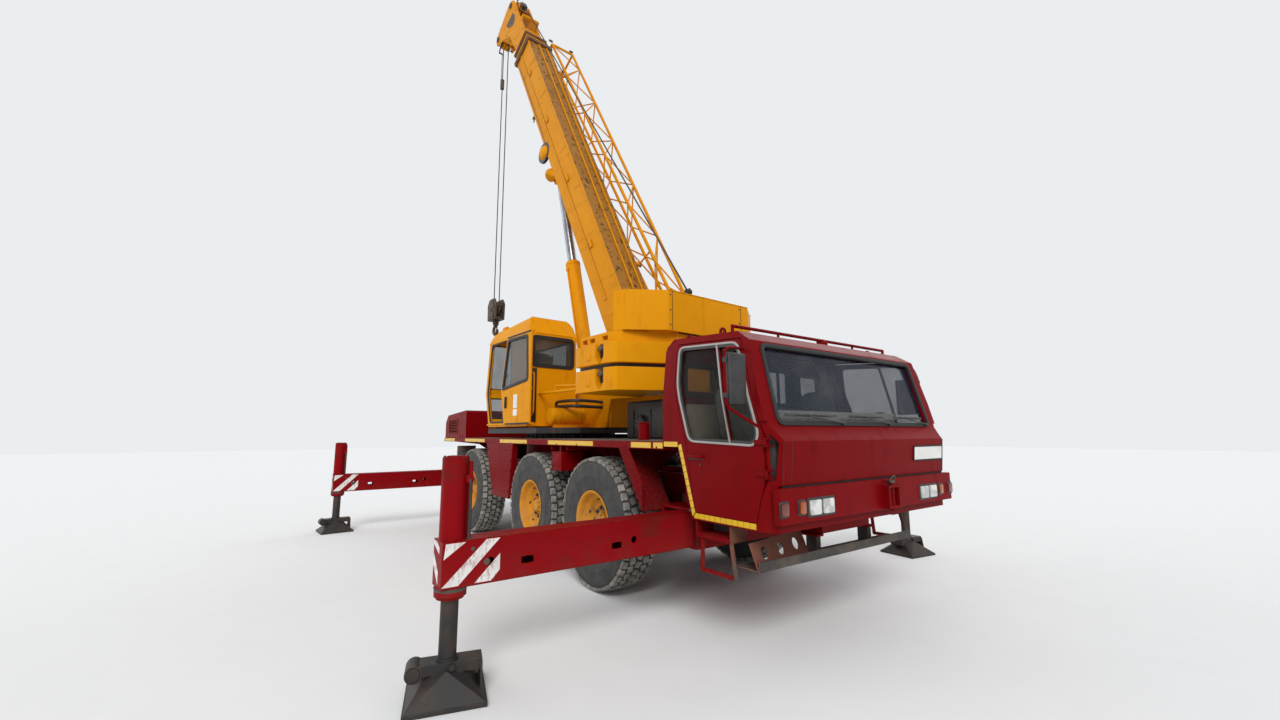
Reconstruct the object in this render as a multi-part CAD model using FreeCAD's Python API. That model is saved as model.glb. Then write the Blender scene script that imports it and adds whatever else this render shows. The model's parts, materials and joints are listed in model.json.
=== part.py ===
import FreeCAD, Part
import os
import math
from FreeCAD import Vector as V

os.makedirs("parts", exist_ok=True)

# Three-axle mobile crane. All sizes in mm. X runs forward from the front axle, Y to the
# left, Z up from the ground. Pieces on the superstructure are drawn about the slewing
# axis with the boom along +X, then turned to the parked heading.

# driving sizes
originX = -1851.0            # middle of the length, measured from the front axle
tyreR = 685.0
tyreW = 375.0
rimR = 312.0
axleX = [0.0, -1590.0, -4034.0]
halfW = 1250.0
kingY = 850.0
deckTop = 1545.0
deckLow = 1475.0
deckRear = -5750.0
deckFront = 1240.0
railY = 330.0                # half distance between frame webs
railLow = 780.0
railTop = 1180.0
beamZ = [654.0, 941.0]
beamW = 200.0
beamOut = 3142.0             # outer end of an extended outrigger beam
beamLen = 2330.0
# X of the front face of each outrigger beam: (corner, side, front face)
beams = [("front_right", -1, 1407.0), ("front_left", 1, 1183.0),
         ("rear_right", -1, -5338.0), ("rear_left", 1, -5562.0)]
slewX = -2800.0
slewDeg = 183.5
luffDeg = 62.1
pivot = V(-1835, 0, 2839)    # boom pivot about the slewing axis
boomHalf = 250.0
boomLow = -322.0
boomUp = 274.0
boomEnd = 7760.0
luffFoot = V(-640, 0, 2000)
luffEye = V(4150, 0, -450)   # rod eye pin, along and across the boom from its pivot
sheave = V(9504, 0, -718)    # head sheave axle, along and across the boom
hookTop = 4570.0
pinR = 45.0                  # pins at both ends of the luffing cylinder
fit = 0.05                   # radial running clearance on pins and shafts
slide = 0.5                  # clearance at wear pads
free = 5.0                   # clearance between pieces that pass each other
openBy = 645.0               # how far the operator door is parked back


def box(x0, x1, y0, y1, z0, z1):
    return Part.makeBox(x1 - x0, y1 - y0, z1 - z0, V(x0, y0, z0))


def cyl(p, d, r, length):
    return Part.makeCylinder(r, length, p, d)


def rod(a, b, r):
    return Part.makeCylinder(r, (b - a).Length, a, b - a)


def plateXZ(pts, y0, y1):
    # flat plate whose outline is given as (x, z) pairs
    ring = [V(x, y0, z) for x, z in pts]
    wire = Part.makePolygon(ring + [ring[0]])
    return Part.Face(wire).extrude(V(0, y1 - y0, 0))


def plateXY(pts, z0, z1):
    # flat plate whose outline is given as (x, y) pairs
    ring = [V(x, y, z0) for x, y in pts]
    wire = Part.makePolygon(ring + [ring[0]])
    return Part.Face(wire).extrude(V(0, 0, z1 - z0))


def plateYZ(pts, x0, x1):
    # flat plate whose outline is given as (y, z) pairs
    ring = [V(x0, y, z) for y, z in pts]
    wire = Part.makePolygon(ring + [ring[0]])
    return Part.Face(wire).extrude(V(x1 - x0, 0, 0))


def pipe(pts, r):
    # round bar along straight legs, with a ball at each bend
    parts = []
    for a, b in zip(pts[:-1], pts[1:]):
        parts.append(rod(a, b, r))
    for p in pts[1:-1]:
        parts.append(Part.makeSphere(r + 0.8, p))
    return join(parts)


def join(parts):
    out = parts[0]
    if len(parts) > 1:
        out = out.fuse(parts[1:])
    return out.removeSplitter()


def spin(pts, centre, side):
    # turned body: pts are (radius, y) pairs, turned about a line along Y through centre
    ring = [V(r, y * side, 0) for r, y in pts]
    wire = Part.makePolygon(ring + [ring[0]])
    body = Part.Face(wire).revolve(V(0, 0, 0), V(0, 1, 0), 360)
    body.translate(centre)
    return body


def group(parts):
    return Part.makeCompound(parts)


def onTurn(shape):
    # from the slewing frame to the carrier
    out = shape.copy()
    out.rotate(V(0, 0, 0), V(0, 0, 1), slewDeg)
    out.translate(V(slewX, 0, 0))
    return out


def onBoom(shape):
    # from the boom frame (X along the boom from its pivot) to the carrier
    out = shape.copy()
    out.rotate(V(0, 0, 0), V(0, 1, 0), -luffDeg)
    out.translate(pivot)
    return onTurn(out)


def save(node, shape):
    out = shape.copy()
    out.translate(V(-originX, 0, 0))
    out.exportStep("parts/" + node + ".step")


def wheel(name, x, side):
    centre = V(x, 0, tyreR)
    out = halfW - 2
    back = halfW - tyreW
    mid = (out + back) / 2
    tyre = spin([(rimR, back + 14), (rimR + 60, back + 8), (tyreR - 150, back - 6), (tyreR - 50, back + 8),
                 (tyreR - 8, back + 40), (tyreR, mid), (tyreR - 8, out - 40), (tyreR - 50, out - 8),
                 (tyreR - 150, out + 2), (rimR + 60, out - 8), (rimR, out - 14)], centre, side)
    rim = spin([(290, back + 2), (rimR + 18, back + 2), (rimR + 18, back + 12), (rimR, back + 14),
                (rimR, out - 14), (rimR + 18, out - 12), (rimR + 18, out - 2), (290, out - 2),
                (290, 1172), (262, 1164), (186, 1098), (60.05, 1098), (60.05, 1080), (192, 1080),
                (266, 1148), (290, 1150)], centre, side)
    nuts = []
    for i in range(10):
        a = math.radians(36 * i)
        p = centre + V(142 * math.cos(a), side * 1096, 142 * math.sin(a))
        nuts.append(cyl(p, V(0, side, 0), 15, 26))
    cap = spin([(0, 1141), (60.05, 1141), (60.05, 1098), (92, 1098), (92, 1150), (70, 1166), (0, 1166)], centre, side)
    save("tyre_" + name, tyre)
    save("rim_" + name, join([rim, cap] + nuts))


for axle, x in enumerate(axleX):
    for label, side in (("left", 1), ("right", -1)):
        wheel(str(axle + 1) + "_" + label, x, side)

# steering knuckles of the first two axles: king pin, two arms, brake drum and spindle
for axle in (0, 1):
    for label, side in (("left", 1), ("right", -1)):
        x = axleX[axle]
        pin = cyl(V(x, side * kingY, tyreR - 150), V(0, 0, 1), 30, 300)
        arms = []
        for z in (tyreR - 150, tyreR + 122):
            arms.append(box(x - 60, x + 60, min(side * 800, side * 940), max(side * 800, side * 940), z, z + 28))
        drum = spin([(0, 926), (190, 926), (190, 990), (0, 990)], V(x, 0, tyreR), side)
        cheek = box(x - 70, x + 70, min(side * 926, side * 940), max(side * 926, side * 940), tyreR - 150, tyreR + 150)
        shaft = spin([(0, 980), (60, 980), (60, 1140), (0, 1140)], V(x, 0, tyreR), side)
        lever = box(x - 190, x - 50, min(side * 812, side * 860), max(side * 812, side * 860), tyreR - 150, tyreR - 122)
        save("knuckle_" + str(axle + 1) + "_" + label, join([pin] + arms + [drum, cheek, shaft, lever]))

# axle beams with drive heads; the third axle carries its drums and spindles itself
axles = []
for axle, x in enumerate(axleX):
    reach = kingY - 40 if axle < 2 else 940
    parts = [cyl(V(x, -reach, tyreR), V(0, 1, 0), 70, 2 * reach), Part.makeSphere(200, V(x, 0, tyreR)),
             box(x - 55, x + 55, -620, -560, tyreR, railLow), box(x - 55, x + 55, 560, 620, tyreR, railLow),
             box(x - 55, x + 55, -620, 620, railLow - 40, railLow)]
    for side in (-1, 1):
        if axle < 2:
            eye = cyl(V(x, side * kingY, tyreR - 114), V(0, 0, 1), 66, 228)
            parts.append(eye)
        else:
            parts.append(spin([(0, 926), (190, 926), (190, 990), (0, 990)], V(x, 0, tyreR), side))
            parts.append(spin([(0, 980), (60, 980), (60, 1140), (0, 1140)], V(x, 0, tyreR), side))
    body = join(parts)
    if axle < 2:
        for side in (-1, 1):
            body = body.cut(cyl(V(x, side * kingY, 0), V(0, 0, 1), 30.05, 1500))
    axles.append(body)
save("axles", group(axles))

# frame: two webs, flanges, cross members, slewing seat and the outrigger boxes
boxHalf = 1050.0
wall = 18.0
boxes = []
for right, left in ((beams[0], beams[1]), (beams[2], beams[3])):
    boxes.append((left[2] - beamW - free - wall, right[2] + free + wall))
kink = boxes[0][1]           # behind the cab the frame drops to a low front part
lowTop = 930.0
frameParts = []
for side in (-1, 1):
    web = sorted([side * railY, side * (railY + 14)])
    rim = sorted([side * railY, side * (railY + 90)])
    for x0, x1, z1 in ((deckRear + 20, kink, railTop), (kink, 2180, lowTop)):
        frameParts.append(box(x0, x1, web[0], web[1], railLow, z1))
        for z in (railLow, z1 - 16):
            frameParts.append(box(x0, x1, rim[0], rim[1], z, z + 16))
for x in (-5100, -4600, -3600, -2000, -1000, -300, 500):
    frameParts.append(box(x, x + 20, -railY, railY, railLow + 40, railTop - 20))
for x in (1700, 2160):
    frameParts.append(box(x, x + 20, -railY, railY, railLow + 20, lowTop - 20))
frameParts.append(box(slewX - 700, slewX + 700, -railY, railY, railTop - 16, railTop))
seat = cyl(V(slewX, 0, railTop - 1), V(0, 0, 1), 720, 332 - slide).cut(cyl(V(slewX, 0, railTop - 40), V(0, 0, 1), 560, 400))
frameParts.append(seat)
for x0, x1 in boxes:
    frameParts.append(box(x0, x1, -boxHalf, boxHalf, beamZ[0] - free - wall, beamZ[1] + free + wall))
frame = join(frameParts)
for x0, x1 in boxes:
    frame = frame.cut(box(x0 + wall, x1 - wall, -1200, 1200, beamZ[0] - free, beamZ[1] + free))
    mid = (x0 + x1) / 2
    frame = frame.fuse(box(mid - 5, mid + 5, -boxHalf, boxHalf, beamZ[0] - 10, beamZ[1] + 10))
    for side in (-1, 1):
        pad = sorted([side * boxHalf, side * (boxHalf - 90)])
        for z0, z1 in ((beamZ[0] - 10, beamZ[0] - slide), (beamZ[1] + slide, beamZ[1] + 10)):
            frame = frame.fuse(box(x0 + 5, x1 - 5, pad[0], pad[1], z0, z1))
save("chassis_frame", frame.removeSplitter())

padHalf = 237.0


def foldedFoot(low, high, z0, z1):
    # square foot folded from its corners to the middles of a smaller diamond on top
    base = [V(low, -low, z0), V(low, low, z0), V(-low, low, z0), V(-low, -low, z0)]
    crown = [V(high, 0, z1), V(0, high, z1), V(-high, 0, z1), V(0, -high, z1)]
    rings = [base, crown]
    for i in range(4):
        k = (i + 1) % 4
        rings.append([base[i], base[k], crown[i]])
        rings.append([crown[i], base[k], crown[k]])
    foot = Part.makeSolid(Part.makeShell([Part.Face(Part.makePolygon(ring + [ring[0]])) for ring in rings]))
    return foot if foot.Volume > 0 else foot.reversed()


# outrigger beams with the jack tube at the outer end; sight holes go through both webs
for name, side, xf in beams:
    yo = side * beamOut
    yi = side * (beamOut - beamLen)
    z0, z1 = beamZ
    outer = box(xf - beamW, xf, min(yo, yi), max(yo, yi), z0, z1)
    inner = box(xf - beamW + 12, xf - 12, min(side * (beamOut - 320), yi - side * 5),
                max(side * (beamOut - 320), yi - side * 5), z0 + 14, z1 - 14)
    beam = outer.cut(inner)
    jx = xf - beamW / 2
    jy = side * (beamOut - 88)
    beam = beam.fuse(cyl(V(jx, jy, 580), V(0, 0, 1), 86, 875))
    beam = beam.fuse(cyl(V(jx, jy, 596), V(0, 0, 1), 100, 58))
    beam = beam.cut(cyl(V(jx, jy, 560), V(0, 0, 1), 55.1, 860))
    for back, z, slot in ((312, 790, 0), (572, 765, 90), (1302, 765, 90), (1462, 790, 0)):
        hole = cyl(V(xf - beamW - 5, side * (beamOut - back), z), V(1, 0, 0), 26, beamW + 10)
        if slot:
            hole = hole.fuse(box(xf - beamW - 5, xf + 5, side * (beamOut - back) - slot / 2,
                                 side * (beamOut - back) + slot / 2, z - 22, z + 22))
        beam = beam.cut(hole)
    save("outrigger_beam_" + name, beam.removeSplitter())
    turn = {"front_right": -15.3, "front_left": -8, "rear_right": 5, "rear_left": -15.3}[name]
    shaft = cyl(V(jx, jy, 190), V(0, 0, 1), 55, 885)
    pad = join([foldedFoot(padHalf - 6, 95, 24, 175), box(-padHalf, padHalf, -padHalf, padHalf, 0, 25),
                box(-70, 70, -205, 210, 150, 215), cyl(V(-75, -190, 172), V(1, 0, 0), 52, 150),
                plateXZ([(-110, 24), (110, 24), (80, 200), (-80, 200)], 200, 212)])
    pad.rotate(V(0, 0, 0), V(0, 0, 1), turn)
    pad.translate(V(jx, jy, 0))
    save("jack_" + name, join([pad, shaft]))

# deck: plate, edge band, slewing well rim and its carriers on the frame
deck = box(deckRear, deckFront, -halfW, halfW, deckTop - 10, deckTop)
skirt = box(deckRear, deckFront, -halfW, halfW, deckLow, deckTop - 10)
skirt = skirt.cut(box(deckRear + 10, deckFront - 10, -halfW + 10, halfW - 10, deckLow - 5, deckTop - 10))
deck = deck.fuse(skirt).cut(cyl(V(slewX, 0, deckLow - 5), V(0, 0, 1), 900, 100))
for x in (-5300, -4480, -1750, -800, 60, 930):
    for side in (-1, 1):
        y = [side * (railY + 2), side * (halfW - 12), side * 700]
        deck = deck.fuse(plateYZ([(y[0], railTop), (y[0], deckTop - 9), (y[1], deckTop - 9), (y[1], deckLow + 5),
                                  (y[2], deckLow - 60)], x, x + 12))
deck = deck.cut(box(-5285, -4485, -railY, railY, deckTop - 20, deckTop + 5))
save("deck", deck.removeSplitter())

# side panels and guards under the deck edge, each hung from the deck
guards = []
for side in (-1, 1):
    y = sorted([side * halfW, side * (halfW - 8)])
    fin = plateXZ([(-3310, deckLow), (-2230, deckLow), (-2340, 700), (-2960, 700)], y[0], y[1])
    y = sorted([side * halfW, side * (halfW - 90)])
    for a, b in (((-3310, deckLow), (-2960, 700)), ((-2230, deckLow), (-2340, 700))):
        fin = fin.fuse(plateXZ([a, b, (b[0] + 8, b[1]), (a[0] + 8, a[1])], y[0], y[1]))
    guards.append(fin)
    y = sorted([side * halfW, side * 900])
    guards.append(plateXZ([(520, deckLow), (528, deckLow), (928, 905), (920, 905)], y[0], y[1])
                  .fuse(plateXZ([(520, deckLow), (700, deckLow), (928, 1160), (928, 905)],
                                y[0] if side < 0 else y[1] - 8, y[0] + 8 if side < 0 else y[1])))
    y = sorted([side * halfW, side * 960])
    case = box(-965, -705, y[0], y[1], 1180, 1400).cut(box(-957, -713, y[0] + 8, y[1] - 8, 1188, 1392))
    guards.append(case.fuse(box(-880, -830, y[0] + 60, y[1] - 60, 1399, deckTop - 10)))
save("side_guards", group(guards))

# engine hood on the rear of the deck, open below
hoodFront = -4430.0
hoodRear = -5720.0
hood = plateXZ([(hoodFront, deckTop), (hoodFront, 2000), (hoodFront - 40, 2035), (hoodRear + 150, 1975),
                (hoodRear, 1840), (hoodRear, deckTop)], -halfW + 5, halfW - 5)
core = plateXZ([(hoodFront - 8, deckTop - 5), (hoodFront - 8, 1994), (hoodFront - 42, 2025), (hoodRear + 152, 1966),
                (hoodRear + 8, 1836), (hoodRear + 8, deckTop - 5)], -halfW + 13, halfW - 13)
hood = hood.cut(core)
for i in range(9):
    z = 1620 + i * 30
    for side in (-1, 1):
        hood = hood.cut(box(-5450, -4950, side * halfW - 30, side * halfW + 30, z, z + 14))
save("rear_hood", hood)

# engine with its gearbox, one plain block between the webs
block = box(-5250, -4520, -300, 300, railTop - 20, 1880)
save("engine_block", block.fuse(box(-4570, -3800, -190, 190, railTop - 180, railTop - 20)).removeSplitter())

# carrier cab
cabSide = [(1240, 1500), (1240, 2390), (1300, 2458), (2100, 2405), (2240, 2315), (2408, 1665), (2494, 1557),
           (2468, 1252), (2440, 1240), (2440, 930), (1612, 930), (1440, 1500)]
cabCore = [(1478, 1538), (1278, 1538), (1278, 2374), (1316, 2420), (2088, 2368), (2205, 2292), (2370, 1655),
           (2456, 1546), (2430, 1290), (2402, 1280), (2402, 968), (1648, 968)]
front = [(-1250, 900), (-1250, 1900), (-1205, 2340), (-1150, 2480), (1150, 2480), (1205, 2340), (1250, 1900), (1250, 900)]
cabOuter = plateXZ(cabSide, -halfW, halfW).common(plateYZ(front, 1200, 2600))
cab = cabOuter
inner = [(-1212, 960), (-1212, 1890), (-1170, 2325), (-1125, 2440), (1125, 2440), (1170, 2325), (1212, 1890), (1212, 960)]
cab = cab.cut(plateXZ(cabCore, -halfW, halfW).common(plateYZ(inner, 1200, 2600)))
for side in (-1, 1):
    # rounded-off front corners in plan
    corner = plateXY([(2330, side * 1262), (2520, side * 1262), (2520, side * 1150), (2466, side * 1172)], 900, 1700)
    cab = cab.cut(corner)
door = [(1398, 2386), (2148, 2334), (2372, 1600), (2378, 1290), (2290, 985), (1655, 985), (1550, 1530), (1398, 2020)]
pane = [(1440, 2350), (2118, 2302), (2330, 1606), (2292, 1535), (1592, 1560), (1440, 2040)]
divider = [(1883, 2345), (1901, 2345), (2067, 1525), (2049, 1525)]
for side in (-1, 1):
    hole = Part.makePolygon([V(x, 0, z) for x, z in door] + [V(door[0][0], 0, door[0][1])])
    hole = Part.Face(hole.makeOffset2D(7.0)).extrude(V(0, 250, 0))
    hole.translate(V(0, 1100 if side > 0 else -1350, 0))
    cab = cab.cut(hole)
cab = cab.cut(box(2120, 2600, -1085, 1085, 1700, 2272))
rearPanes = [(-1010, -640, 1960, 2250), (-480, 480, 1900, 2280), (640, 1010, 1960, 2250)]
for y0, y1, z0, z1 in rearPanes:
    cab = cab.cut(box(1200, 1290, y0, y1, z0, z1))
hingeX = 2405.0
hingeY = 1262.0
hingeZ = (1310.0, 1530.0)
for side in (-1, 1):
    for z in hingeZ:
        for z0 in (z - 12, z + 40.5):
            lug = sorted([side * 1190, side * (hingeY + 8)])
            cab = cab.fuse(box(hingeX - 9, hingeX + 12, lug[0], lug[1], z0, z0 + 11.5))
        cab = cab.fuse(cyl(V(hingeX, side * hingeY, z - 6), V(0, 0, 1), 6, 52))
save("carrier_cab", cab.removeSplitter())

# fixed cab glass: the raked windscreen and the rear panes
slope = (2408 - 2240) / (2315 - 1665)
shield = plateXZ([(2390 - 22, 1700), (2390 - 16, 1700), (2390 - 16 - slope * 572, 2272), (2390 - 22 - slope * 572, 2272)],
                 -1085, 1085)
glass = [shield]
for y0, y1, z0, z1 in rearPanes:
    glass.append(box(1255, 1260, y0, y1, z0, z1))
save("cab_glass", group(glass))

def sideSkin(outer, inner):
    # the side walls between two depths below their outer face, with the cab's lean
    full, core = [plateYZ([(y + d if y < 0 else y - d, z) for y, z in front], 1200, 2600) for d in (outer, inner)]
    return full.cut(core)


# doors with their frames, glass and a divider bar
doors = {}
for label, side in (("left", 1), ("right", -1)):
    y = sorted([side * (halfW + 50), side * 1000])
    leaf = plateXZ(door, y[0], y[1]).common(sideSkin(0, 34)).cut(plateXZ(pane, -1300, 1300))
    leaf = leaf.fuse(plateXZ(divider, y[0], y[1]).common(sideSkin(10, 30)))
    leaf = leaf.fuse(box(1660, 1760, min(side * halfW, side * (halfW + 16)), max(side * halfW, side * (halfW + 16)),
                         1412, 1436))
    for z in hingeZ:
        strap = sorted([side * halfW, side * (hingeY - 2)])
        leaf = leaf.fuse(box(2300, hingeX, strap[0], strap[1], z + 2, z + 38))
        leaf = leaf.fuse(cyl(V(hingeX, side * hingeY, z), V(0, 0, 1), 12, 40))
    for z in hingeZ:
        leaf = leaf.cut(cyl(V(hingeX, side * hingeY, z - 5), V(0, 0, 1), 6 + fit, 50))
    tilt = 45.0 / 440.0
    doors[label] = leaf.removeSplitter()
    save("cab_door_" + label, doors[label])
    sheet = plateYZ([(side * (halfW - 22), 1530), (side * (halfW - 22), 1900), (side * (halfW - 22 - tilt * 460), 2360),
                     (side * (halfW - 27 - tilt * 460), 2360), (side * (halfW - 27), 1900), (side * (halfW - 27), 1530)],
                    1400, 2400)
    save("cab_door_glass_" + label, sheet.common(plateXZ(pane, -1300, 1300)).cut(plateXZ(divider, -1300, 1300)))

# cab inside: dash, seats, wheel and column
inside = [plateXZ([(2250, 968), (2250, 1560), (2290, 1640), (2350, 1640), (2400, 1560), (2400, 968)], -1150, 1150)]
for y in (-620, 620):
    seat = box(1560, 1990, y - 240, y + 240, 1330, 1430).fuse(plateXZ([(1560, 1400), (1470, 2060), (1560, 2080),
                                                                     (1660, 1420)], y - 230, y + 230))
    inside.append(seat.fuse(box(1665, 1900, y - 150, y + 150, 968, 1335)))
column = rod(V(2270, 620, 1500), V(2085, 620, 1625), 28)
ring = Part.makeTorus(215, 14, V(0, 0, 0), V(0, 0, 1))
ring = ring.fuse([box(-214, 214, -12, 12, -8, 8), box(-12, 12, -214, 214, -8, 8)])
ring.rotate(V(0, 0, 0), V(0, 1, 0), -56)
ring.translate(V(2088, 620, 1622))
inside.append(column.fuse(ring))
save("cab_interior", group(inside))

# front bumper, a channel closed by the cab front, with the tow jaw and its pin
bumperX = 2500.0
bumper = box(2440, bumperX, -1240, 1240, 994, 1236).cut(box(2430, bumperX - 10, -1230, 1230, 1004, 1226))
bumper = bumper.cut(box(2430, bumperX + 10, 30, 210, 1010, 1190))
for y in (30, 186):
    bumper = bumper.fuse(box(2440, bumperX + 60, y, y + 24, 1004, 1190))
bumper = bumper.fuse(cyl(V(bumperX + 35, 120, 985), V(0, 0, 1), 18, 225))
for z in (1004, 1168):
    bumper = bumper.fuse(box(bumperX - 30, bumperX + 58, 53, 187, z, z + 22))
save("front_bumper", bumper.removeSplitter())

# lamps, front and rear: (x, middle of y, half width, z0, z1, depth)
lamps = []
rearX = boxes[1][0]
for x, y, half, z0, z1, deep in ((bumperX, 700, 70, 1030, 1150, 12), (bumperX, 850, 70, 1030, 1150, 12),
                                 (bumperX, 1055, 45, 1070, 1150, 16), (rearX - 24, 840, 160, 760, 860, 24)):
    for side in (-1, 1):
        lamps.append(box(x, x + deep, side * y - half, side * y + half, z0, z1))
save("lamps", group(lamps))

# roof rail, lifting eyes
rail = pipe([V(1990, -1120, 2395), V(1990, -1120, 2470), V(1990, 1120, 2470), V(1990, 1120, 2395)], 14)
for y in (-560, 0, 560):
    rail = rail.fuse(rod(V(1990, y, 2395), V(1990, y, 2470), 11))
rails = [rail.cut(cabOuter)]
for side in (-1, 1):
    for x in (1420, 1840):
        y = side * 1080 - 8
        eye = box(x - 34, x + 34, y, y + 16, 2390, 2454).fuse(cyl(V(x, y, 2454), V(0, 1, 0), 34, 16))
        rails.append(eye.cut(cyl(V(x, y - 10, 2456), V(0, 1, 0), 14, 40)).cut(cabOuter))
save("roof_rail", group(rails))

# mirrors in tube frames carried by the doors; the left one is folded back along its door
mirrorLegs = {"right": [(2154, 1205, 2250), (2262, 1395, 2232), (2269, 1506, 2208), (2269, 1490, 1792),
                        (2336, 1240, 1660)],
              "left": [(2150, 1205, 2270), (2179, 1350, 2290), (2224, 1350, 2154), (2222, 1350, 1960),
                       (2270, 1320, 1780), (2336, 1240, 1660)]}
mirrorHeads = {"right": (2247, 2291, 1300, 1478, 1810, 2190), "left": (1985, 2190, 1330, 1372, 1800, 2170)}
for label, side in (("left", 1), ("right", -1)):
    parts = [pipe([V(x, side * y, z) for x, y, z in mirrorLegs[label]], 11)]
    x0, x1, y0, y1, z0, z1 = mirrorHeads[label]
    y = sorted([side * y0, side * y1])
    parts.append(box(x0, x1, y[0], y[1], z0, z1))
    for z in (1985, 2130) if side > 0 else (1850, 2150):
        if side > 0:
            parts.append(rod(V(2180, 1350, z), V(2224, 1350, z), 9))
        else:
            parts.append(rod(V(2269, -1470, z), V(2269, -1500, z), 9))
    save("mirror_" + label, join(parts).cut(doors[label]))

# steps below the doors: two boards in the recess and a tube loop
steps = []
for side in (-1, 1):
    s = side
    y = sorted([s * 1240, s * 1050])
    step = box(1640, 2020, y[0], y[1], 800, 830)
    for x in (1640, 2010):
        step = step.fuse(box(x, x + 10, y[0], y[1], 800, 930))
    step = step.fuse(box(1640, 2020, min(s * 1050, s * (railY + 90)), max(s * 1050, s * (railY + 90)), 900, 930))
    loop = pipe([V(1690, s * 1210, 810), V(1700, s * 1230, 560), V(2060, s * 1230, 560), V(2000, s * 1210, 810)], 17)
    steps.append(step.fuse(loop))

# tray hung from the frame below the bumper, with a holed plate leaning in it
tray = box(2040, 2262, -1200, 880, 640, 648).fuse(box(2254, 2262, -1200, 880, 640, 710))
for side in (-1, 1):
    y = sorted([side * 345, side * 400])
    tray = tray.fuse(box(2060, 2160, y[0], y[1], 640, railLow))
steps.append(tray.removeSplitter())
plate = box(0, 772, 0, 12, 0, 190)
for x in (150, 386, 622):
    plate = plate.cut(cyl(V(x, -5, 98), V(0, 1, 0), 47, 22))
plate.rotate(V(0, 0, 0), V(1, 0, 0), -21)
plate.rotate(V(0, 0, 0), V(0, 0, 1), 100.4)
plate.translate(V(2249, -1197, 652.4))
steps.append(plate)
save("access_steps", group(steps))

# superstructure: slewing ring, platform, side plates, boom pin, cylinder foot
ring = cyl(V(0, 0, 1511), V(0, 0, 1), 720, 109).cut(cyl(V(0, 0, 1500), V(0, 0, 1), 560, 160))
platform = plateXY([(-1350, -700), (-1350, 700), (-1000, 1180), (620, 1180), (900, 700), (900, -700), (620, -1180),
                    (-1000, -1180)], 1620, 1700)
turn = ring.fuse(platform)
sidePlate = [(-1440, 1699), (-1540, 2090), (-2960, 2090), (-2960, 2700), (-2800, 3040), (-2480, 3040), (-2300, 2860),
       (-2010, 3010), (-1835, 3050), (-1660, 3010), (-1420, 2700), (-860, 2260), (150, 2080), (560, 1699)]
for side in (-1, 1):
    y = sorted([side * 285, side * 320])
    turn = turn.fuse(plateXZ(sidePlate, y[0], y[1]))
for x, z0, z1 in ((-2960, 2100, 2560), (-1500, 1699, 2280), (200, 1699, 1830)):
    turn = turn.fuse(box(x, x + 30, -286, 286, z0, z1))
turn = turn.fuse(cyl(pivot + V(0, -330, 0), V(0, 1, 0), 50, 660))
for side in (-1, 1):
    y = sorted([side * 130, side * 170])
    turn = turn.fuse(plateXZ([(-900, 1699), (-760, 2080), (-520, 2080), (-380, 1699)], y[0], y[1]))
    turn = turn.fuse(cyl(luffFoot + V(0, min(side * 128, side * 182), 0), V(0, 1, 0), pinR, 54))
tank = cyl(V(-1060, 480, 1860), V(0, 1, 0), 112, 530)
turn = turn.fuse(box(-1090, -1030, 540, 950, 1699, 1780)).fuse(tank)
winchAt = V(-2640, 0, 2930)
turn = turn.fuse(cyl(winchAt + V(0, -300, 0), V(0, 1, 0), 40, 600))
save("turntable", onTurn(turn.removeSplitter()))

# counterweight slabs and the slotted top frame
slab = [(-2110, 1250), (-2740, 1250), (-2880, 1205), (-3190, 520), (-3190, -520), (-2880, -1205), (-2740, -1250),
        (-2110, -1250)]
top = [(-2110, 1190), (-2700, 1190), (-2850, 1120), (-3110, 520), (-3110, -520), (-2850, -1120), (-2700, -1190),
       (-2110, -1190)]
notch = box(-2985, -2000, -320, 320, 2000, 2900)
weights = []
for z0, z1 in ((2090, 2352), (2400, 2640)):
    block = plateXY(slab, z0, z1).cut(notch)
    for side in (-1, 1):
        y = sorted([side * 1180, side * 1260])
        block = block.cut(box(-2680, -2520, y[0], y[1], z1 - 170, z1 + 5))
        y0 = y[0] - 90 if side > 0 else y[0]
        block = block.cut(cyl(V(-2600, y0, z1 - 172), V(0, 1, 0), 62, 170))
    weights.append(block)
weights[0] = weights[0].fuse(plateXY(slab, 2352, 2400).cut(notch).common(plateXY(top, 2300, 2500)))
frame = plateXY(top, 2640, 2770).cut(notch)
for x in (-2680, -2420, -2260):
    for side in (-1, 1):
        frame = frame.cut(box(x, x + 110, side * 1190 - 60, side * 1190 + 60, 2680, 2730))
whole = weights[0].fuse([weights[1], frame])
save("counterweight", onTurn(whole.removeSplitter()))

# tail housing: folded plate round the winch
tail = [(-2730, 1150), (-2900, 1110), (-3180, 700), (-3180, -700), (-2900, -1110), (-2730, -1150)]
tailIn = [(-2720, 1138), (-2892, 1100), (-3168, 695), (-3168, -695), (-2892, -1100), (-2720, -1138)]
house = plateXY(tail, 2770, 3240).cut(plateXY(tailIn, 2770, 3300))
for side in (-1, 1):
    y = sorted([side * 322, side * 1145])
    house = house.fuse(box(-2742, -2730, y[0], y[1], 2770, 3240))
    house = house.fuse(box(-2742, -2640, y[0] if side > 0 else y[1] - 90, y[0] + 90 if side > 0 else y[1], 3230, 3300))
save("tail_housing", onTurn(house.removeSplitter()))

# hoist winch drum between the side plates
drum = spin([(40.05, -230), (205, -230), (205, -215), (150, -215), (150, 215), (205, 215), (205, 230), (40.05, 230)],
            V(0, 0, 0), 1)
drum = drum.fuse(spin([(150, -214.5), (182, -214.5), (182, 214.5), (150, 214.5)], V(0, 0, 0), 1))
drum.translate(winchAt)
save("winch_drum", onTurn(drum.removeSplitter()))

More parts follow.
